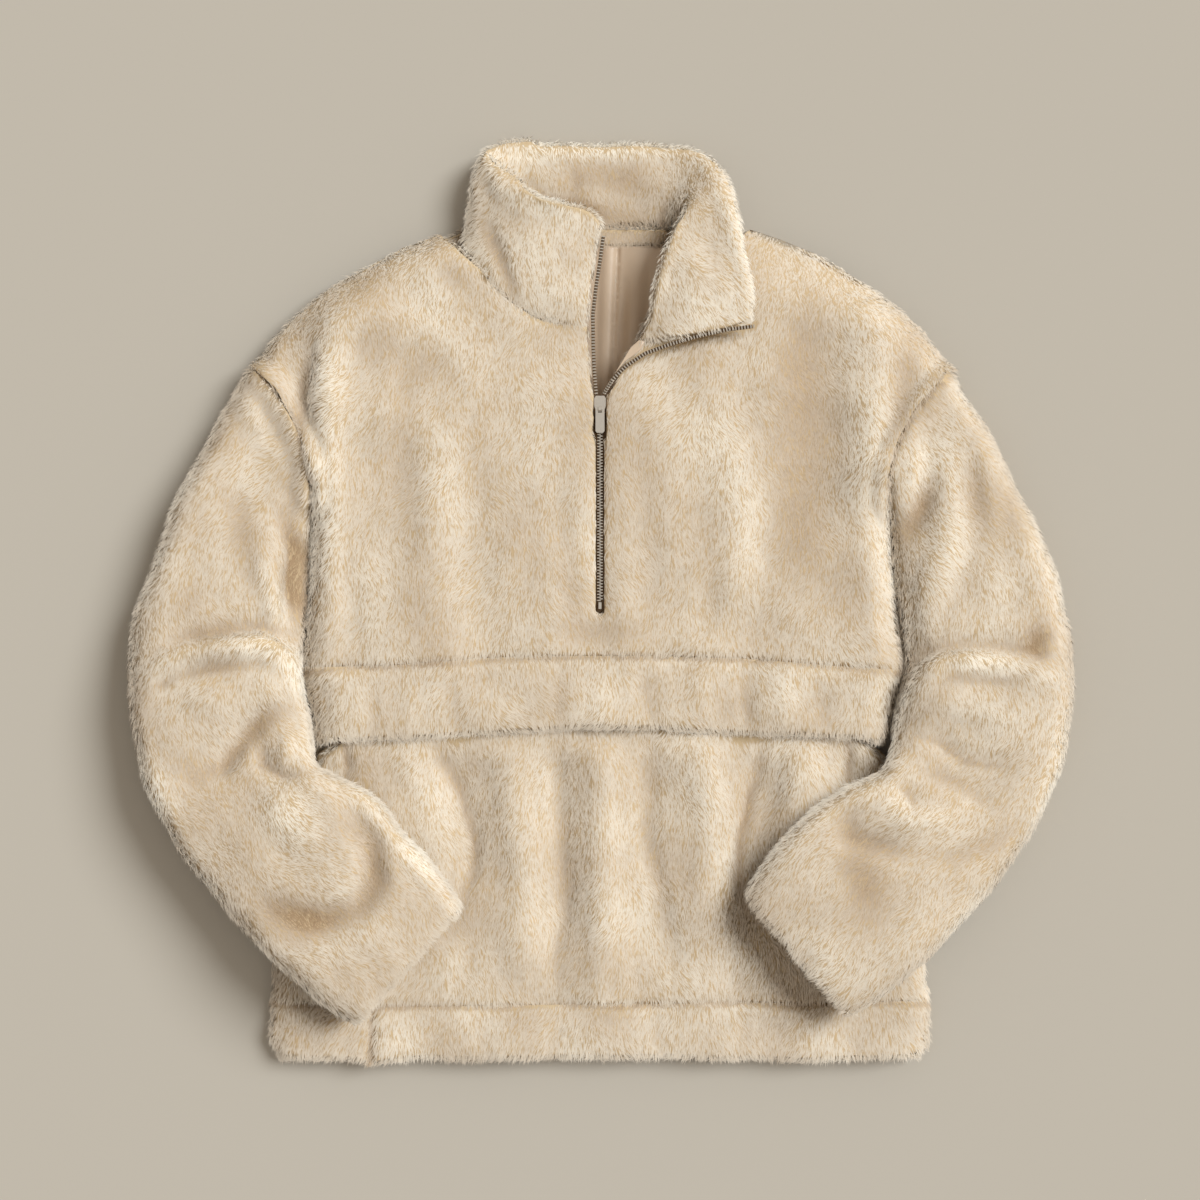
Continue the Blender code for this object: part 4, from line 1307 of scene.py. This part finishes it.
LOWER_STROKES = strokes(
    (((-140, -121), (-118, -162), (-108, -202), (-109, -231), (-121, -259)), 9, -3.85, -0.22),
    (((-166, -123), (-143, -170), (-136, -212), (-143, -246)), 22, 3.03, 0.06),
    (((-217, -117), (-215, -149)), 6, -3.85, -0.3),
    (((-85, -121), (-68, -187), (-62, -255), (-65, -306)), 22, 2.75, 0.06),
    (((-37, -117), (-34, -195), (-30, -248), (-38, -319)), 12, -3.85, -0.12),
    (((2, -116), (0, -225), (5, -332)), 22, 2.75, 0.07),
    (((42, -117), (39, -187), (52, -264), (66, -327)), 13, -2.75, -0.14),
    (((90, -117), (96, -206), (82, -280)), 22, 2.48, 0.05),
    (((139, -117), (130, -156), (120, -195), (117, -231), (129, -280)), 10, -4.68, -0.26),
    (((175, -121), (163, -170), (149, -221)), 20, 2.75, 0.05),
    (((210, -117), (210, -153)), 6, -3.85, -0.3),
    (((-111, -280), (-118, -338)), 14, -1.43, -0.08),
    (((114, -298), (120, -340)), 16, -1.43, -0.06),
    (((8, -298), (11, -340)), 10, -1.1, -0.05),
    (((-170, -306), (-136, -280), (-111, -259)), 22, -1.1, -0.1),
    (((119, -255), (144, -298), (170, -332)), 24, -1.1, -0.12),
)
HEM_STROKES = strokes(
    (((-102, -350), (-97, -388)), 9, -1.8, -0.06),
    (((-34, -350), (-41, -388)), 9, -1.6, -0.05),
    (((46, -350), (52, -388)), 9, -1.8, -0.06),
    (((123, -350), (119, -388)), 9, -1.6, -0.06),
    (((212, -357), (219, -388)), 9, -1.4, -0.05),
)
LEFT_SLEEVE_STROKES = strokes(
    (((-374, -64), (-362, -48), (-347, -41), (-323, -37), (-281, -34), (-266, -43), (-257, -58),
     (-247, -79), (-244, -104), (-245, -129)), 14, 9, 0.13),
    (((-376, -42), (-349, -29), (-288, -20), (-264, -29), (-252, -48)), 14, -8.5, -0.16),
    (((-368, -65), (-349, -60), (-317, -54), (-281, -51)), 7, -4.5, -0.16),
    (((-373, -70), (-359, -65)), 7, -4, -0.18),
    (((-263, -88), (-278, -94), (-292, -105), (-304, -120), (-317, -138), (-340, -146)), 14, -9, -0.28),
    (((-349, -76), (-306, -81)), 20, 4, 0.04),
    (((-288, -115), (-283, -136), (-268, -145), (-245, -142)), 8, -6.5, -0.2),
    (((-262, -115), (-266, -129)), 10, 4, 0.05),
    (((-288, -162), (-255, -187), (-234, -211)), 28, 5.5, 0.04),
    (((-211, -180), (-193, -204), (-189, -231), (-204, -255), (-234, -267), (-272, -257)), 19, -9, -0.26),
    (((-240, -146), (-217, -150), (-194, -167), (-172, -196), (-145, -228), (-121, -257)), 13, 5, 0.1),
    (((-298, -246), (-255, -268), (-217, -268)), 28, -2, -0.34),
    (((-359, -121), (-340, -162)), 26, -2, -0.2),
    (((-391, -76), (-381, -144), (-349, -208), (-306, -264)), 12, 3, 0.05),
    (((-295, 195), (-276, 156), (-257, 122), (-246, 88)), 10, -1.5, -0.04),
    (((-306, 183), (-283, 136), (-262, 94)), 11, 4, 0.06),
    (((-291, 149), (-267, 106), (-250, 70)), 9, -2.5, -0.08),
    (((-267, 74), (-256, 43), (-259, 13), (-253, -27)), 15, -10.5, -0.46),
    (((-288, 47), (-279, 17), (-269, -19)), 12, 4.5, 0.12),
    (((-317, 102), (-302, 76), (-298, 34)), 20, -3.5, -0.26),
    (((-344, 17), (-349, -13)), 16, -1.5, -0.1),
    (((-328, 144), (-359, 60), (-376, -8)), 20, 3, 0.05),
    (((-230, -302), (-211, -319)), 14, -1.5, -0.06),
)
RIGHT_SLEEVE_STROKES = strokes(
    (((379, -63), (349, -52), (317, -49), (287, -48), (276, -58), (263, -76), (250, -97), (244, -120),
     (248, -139)), 14, 9, 0.14),
    (((259, -58), (273, -42), (306, -36), (348, -38), (378, -47)), 14, -8, -0.1),
    (((287, -61), (318, -63), (352, -66)), 8, -2.5, -0.12),
    (((265, -112), (285, -116), (306, -133), (326, -136), (345, -135)), 7, -6.5, -0.16),
    (((276, -140), (300, -152), (317, -162), (336, -174)), 10, -3.5, -0.08),
    (((253, -151), (261, -163), (265, -175)), 8, -6, -0.16),
    (((276, -85), (318, -89), (348, -102)), 18, 4, 0.05),
    (((229, -166), (259, -180), (297, -183)), 16, 4.5, 0.06),
    (((202, -170), (212, -196), (236, -204), (263, -211)), 16, -7, -0.2),
    (((205, -202), (221, -231), (227, -255)), 24, -2, -0.26),
    (((268, -212), (297, -214), (330, -202), (350, -189)), 14, -3, -0.12),
    (((239, -155), (212, -160), (193, -172), (170, -192), (144, -218), (127, -238)), 12, 4.5, 0.08),
    (((392, -85), (384, -136), (358, -196), (327, -238)), 12, 3, 0.05),
    (((304, 128), (312, 94), (318, 60)), 18, -3, -0.14),
    (((280, 100), (265, 72), (251, 47)), 15, -5.5, -0.36),
    (((292, 170), (295, 110), (290, 45), (272, -8), (259, -46)), 22, 5, 0.14),
    (((267, 136), (261, 110), (255, 81)), 10, 4, 0.05),
    (((370, -15), (365, -34), (358, -47)), 18, -4, -0.42),
    (((249, 21), (252, -17), (256, -47)), 10, -4, -0.16),
    (((327, 34), (331, -8)), 24, 3, 0.04),
    (((340, 102), (348, 51)), 20, -2.5, -0.08),
    (((166, -285), (180, -308)), 12, -1.2, -0.22),
    (((280, -238), (255, -280)), 22, 2.5, 0.04),
)
# Collar tones paint the shade under the rolled rim and inside the back of the collar, and the light on its
# rolled top.
COLLAR_STROKES = strokes(
    (((-89, 377), (-86, 352), (-68, 338), (-38, 330), (-9, 322), (-2, 309)), 12, 5.5, 0.18),
    (((-62, 360), (-47, 345), (-7, 337), (5, 328)), 9, -2.8, -0.38),
    (((-99, 328), (-87, 298), (-72, 258)), 9, -3.5, -0.38),
    (((-47, 359), (0, 366), (46, 355)), 24, -1, -0.36),
    (((-34, 338), (8, 333), (46, 321)), 20, -0.5, -0.34),
    (((-19, 378), (-23, 344)), 8, -1.6, -0.1),
    (((76, 357), (64, 332), (57, 306), (46, 264), (36, 230)), 9, 3.5, 0.1),
    (((57, 343), (51, 319)), 8, -2, -0.22),
    (((85, 306), (98, 272)), 12, -2.5, -0.1),
    (((63, 264), (85, 246)), 18, 2, 0.08),
    (((90, 370), (105, 336), (117, 289), (127, 248)), 11, 3, 0.16),
    (((-68, 310), (-47, 280), (-22, 255)), 20, 2, 0.06),
    (((-94, 381), (-34, 385), (34, 385), (85, 382)), 9, 3, 0.2),
)

ZIP_LEFT = [(-3, 173.6, 33), (-4.6, 192, 33.5), (-5.6, 212, 34), (-6, 241, 36), (-3.4, 264, 38),
            (0.6, 290, 39), (3, 308, 39)]
ZIP_RIGHT = [(3.3, 174.3, 34), (6.4, 179.4, 38.5), (11, 186, 44.5), (22, 197, 46), (38, 207.5, 47),
             (59, 215, 48.5), (80, 221, 50), (106, 227, 51.5), (130, 230, 52)]
ZIP_CLOSED = [(0, 158.4, 33.3), (0, -1.4, 33.3)]
ZIP_GROOVE = ((0, 176), (0, -8))
TAB_GROOVE = ((0, 174), (0, 142))
LINING_FOLDS = [
    Stroke(((7, 300), (3, 150)), 9, 2.4, fade=0.0),
    Stroke(((15, 300), (9, 150)), 3, -2.2, fade=0.0),
    Stroke(((32, 298), (24, 150)), 12, 3.2),
    Stroke(((22, 270), (15, 150)), 6, -1.6),
]


# ---------------------------------------------------------------- the garment and its setting


@dataclass
class Pullover:
    """The whole garment: fur pieces, satin back lining and the half zip."""

    def fur_pieces(self) -> List[FurPiece]:
        """List every fur piece with its cut, creases and what it rests on.

        Returns:
            The pieces, not yet built.
        """
        band, hem = [seam(BAND_SEAM)], [seam(HEM_SEAM)]
        left, right = seam(LEFT_ARMHOLE, -1.2, -0.16), seam(RIGHT_ARMHOLE, -2.0, -0.28)
        body_fills = [filling(LEFT_ARMHOLE, 8.0), filling(RIGHT_ARMHOLE, 8.0)]
        sleeve_fills = [filling(LEFT_ARMHOLE, 6.0), filling(RIGHT_ARMHOLE, 5.5)]
        armholes = [Join(LEFT_ARMHOLE, 6.0), Join(RIGHT_ARMHOLE, 4.0)]
        sides = [Join(LEFT_SIDE, 1.5), Join(RIGHT_SIDE, 1.5)]
        opening = [Join(plan(path)) for path in (ZIP_LEFT, ZIP_RIGHT, ZIP_CLOSED)]
        clear = [Clearing(plan(ZIP_LEFT), 2.3), Clearing(plan(ZIP_RIGHT), 2.3),
                 Clearing(ZIP_GROOVE, 3.0), Clearing(TAB_GROOVE, 5.4)]
        waist, foot = [Join(BAND_SEAM)], [Join(HEM_SEAM), Join(HEM_JOIN)]
        neck = [Join(COLLAR_SEAM, 1.0), Join(BACK_NECK_SEAM, 1.0)]
        under = ("shell_hem_band_back",)
        return [
            FurPiece("upper_back", (0.60, 0.32), seed=11, joins=armholes),
            FurPiece("upper_front", (0.60, 0.32), strokes=band + [left, right] + CHEST_STROKES,
                     fills=body_fills, joins=armholes + sides + opening + waist + neck, clearings=clear,
                     seed=12, rests_on=("shell_upper_back",)),
            FurPiece("upper_band_back", (0.51, 0.075), seed=13),
            FurPiece("upper_band_front", (0.51, 0.075), strokes=band + BAND_STROKES,
                     joins=waist + sides, seed=14, rests_on=("shell_lower_front",)),
            FurPiece("lower_back", (0.56, 0.29), seed=15),
            FurPiece("lower_front", (0.56, 0.29), strokes=LOWER_STROKES + hem, joins=foot, seed=16,
                     rests_on=("shell_lower_back",)),
            FurPiece("hem_band_back", (0.57, 0.055), seed=17),
            FurPiece("hem_band_front", (0.48, 0.055), strokes=hem + [seam(HEM_JOIN)] + HEM_STROKES,
                     joins=foot, seed=18, rests_on=under),
            FurPiece("hem_band_front_left", (0.09, 0.055), strokes=hem + [seam(HEM_JOIN)], joins=foot,
                     seed=19, rests_on=under),
            FurPiece("sleeve_left", (0.31, 0.56), nap=Nap.LEFT_SLEEVE, strokes=LEFT_SLEEVE_STROKES + [left],
                     fills=sleeve_fills, joins=armholes + sides, seed=20),
            FurPiece("sleeve_right", (0.31, 0.56), nap=Nap.RIGHT_SLEEVE,
                     strokes=RIGHT_SLEEVE_STROKES + [right], fills=sleeve_fills,
                     joins=armholes + sides, seed=21),
            FurPiece("collar", (0.40, 0.09), nap=Nap.COLLAR, strokes=COLLAR_STROKES, seed=22,
                     clearings=clear[:1] + [Clearing(clear[1].points, 1.5)],
                     joins=opening[:1] + neck + [Join(LAPEL_END, 17.0, 24.0), Join(COLLAR_RIM, 8.0, 20.0),
                                                 Join(COLLAR_TOP, 6.0, 12.0)],
                     rests_on=("shell_upper_front",), pile=Pile(density=62), tone=0.72),
            # The facing's low tone paints the shade inside the back of the neck.
            FurPiece("back_neck_facing", (0.10, 0.016), seed=23, joins=neck, rests_on=("shell_upper_back",),
                     pile=Pile(density=90, length=7.0), inset=2.2, tone=0.3, widest=0.012, cuts=5),
        ]

    def build(self) -> List[bpy.types.Object]:
        """Build every piece.

        Returns:
            The pieces.
        """
        sight, made = Sight(), []
        ground, pile = GroundFinish().build(), PileFinish().build()
        satin, tape, metal = SatinFinish().build(), TapeFinish().build(), MetalFinish().build()
        for piece in self.fur_pieces():
            made += piece.build(sight, ground, pile)
        for piece, material in (
                (SatinPiece("back_lining", (0.10, 0.16), LINING_FOLDS, splits=6), satin),
                (SatinPiece("zip_placket", (0.028, 0.011), area=0.0002), satin),
                (Teeth("teeth_closed", ZIP_CLOSED, "zip_chain_closed", interlocked=True), metal),
                (Teeth("teeth_left", ZIP_LEFT, "zip_chain_left"), metal),
                (Teeth("teeth_right", ZIP_RIGHT, "zip_chain_right"), metal),
                (Edging("edging_left", ZIP_LEFT), tape),
                (Edging("edging_right", ZIP_RIGHT), tape),
                (SatinPiece("zip_tape", (0.022, 0.172), slot="tape"), tape)):
            made.append(piece.build(material))
        for node in ("slider", "slider_bridge", "pull_tab", "zip_stop"):
            made.append(self.paint(node, metal))
        return made

    @staticmethod
    def paint(node: str, material: bpy.types.Material) -> bpy.types.Object:
        """Give a carried-over solid its finish.

        Args:
            node: The solid.
            material: Its finish.

        Returns:
            The solid.
        """
        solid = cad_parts[node]
        for slot in solid.material_slots:
            slot.material = material
        return solid


@dataclass
class Studio:
    """Pale floor, soft key light from the upper right, and a camera straight above."""

    height: float = 2.43
    lens: float = 85.0
    floor_reach: float = 60.0
    key_place: Triple = (0.86, 0.5, 0.85)
    key_spread: float = 28.0
    key_strength: float = 2.86
    key_colour: Colour = (0.91, 0.96, 1.0)
    air_colour: Colour = (1.0, 0.925, 0.83)
    air_strength: float = 0.46

    def build(self) -> None:
        """Add the floor, lights and camera."""
        reach = self.floor_reach
        corners = np.array([(-reach, -reach, 0), (reach, -reach, 0), (reach, reach, 0), (-reach, reach, 0)])
        floor = add_mesh("studio_floor", corners, np.array([(0, 1, 2, 3)]), FloorFinish().build())
        self.key()
        scene = bpy.context.scene
        world = bpy.data.worlds.new("studio_air")
        world.use_nodes = True
        air = world.node_tree.nodes["Background"].inputs
        air["Color"].default_value = (*self.air_colour, 1.0)
        air["Strength"].default_value = self.air_strength
        scene.world = world
        data = bpy.data.cameras.new("overhead")
        data.lens = self.lens
        camera = bpy.data.objects.new("overhead", data)
        camera.location = (0.0, 0.0, self.height)
        scene.collection.objects.link(camera)
        scene.camera = camera
        scene.view_settings.view_transform = "Standard"

    def key(self) -> bpy.types.Object:
        """Add a large far lamp that lights the whole floor evenly.

        Returns:
            The lamp.
        """
        data = bpy.data.lights.new("key", "SUN")
        data.angle = radians(self.key_spread)
        data.energy = self.key_strength
        data.color = self.key_colour
        lamp = bpy.data.objects.new("key", data)
        lamp.location = self.key_place
        lamp.rotation_mode = "QUATERNION"
        lamp.rotation_quaternion = (-Vector(self.key_place)).to_track_quat("-Z", "Y")
        bpy.context.scene.collection.objects.link(lamp)
        return lamp


def report(piece: bpy.types.Object) -> None:
    """Log a piece's name, faces and surface."""
    areas = np.zeros(len(piece.data.polygons), np.float32)
    piece.data.polygons.foreach_get("area", areas)
    LOG.info("%s: %d faces, surface %.4f m2", piece.name, len(areas), areas.sum())


def main() -> None:
    """Build the garment and its setting, and report each piece."""
    logging.basicConfig(level=logging.INFO)
    for piece in Pullover().build():
        report(piece)
    Studio().build()


if __name__ == "__main__":
    main()
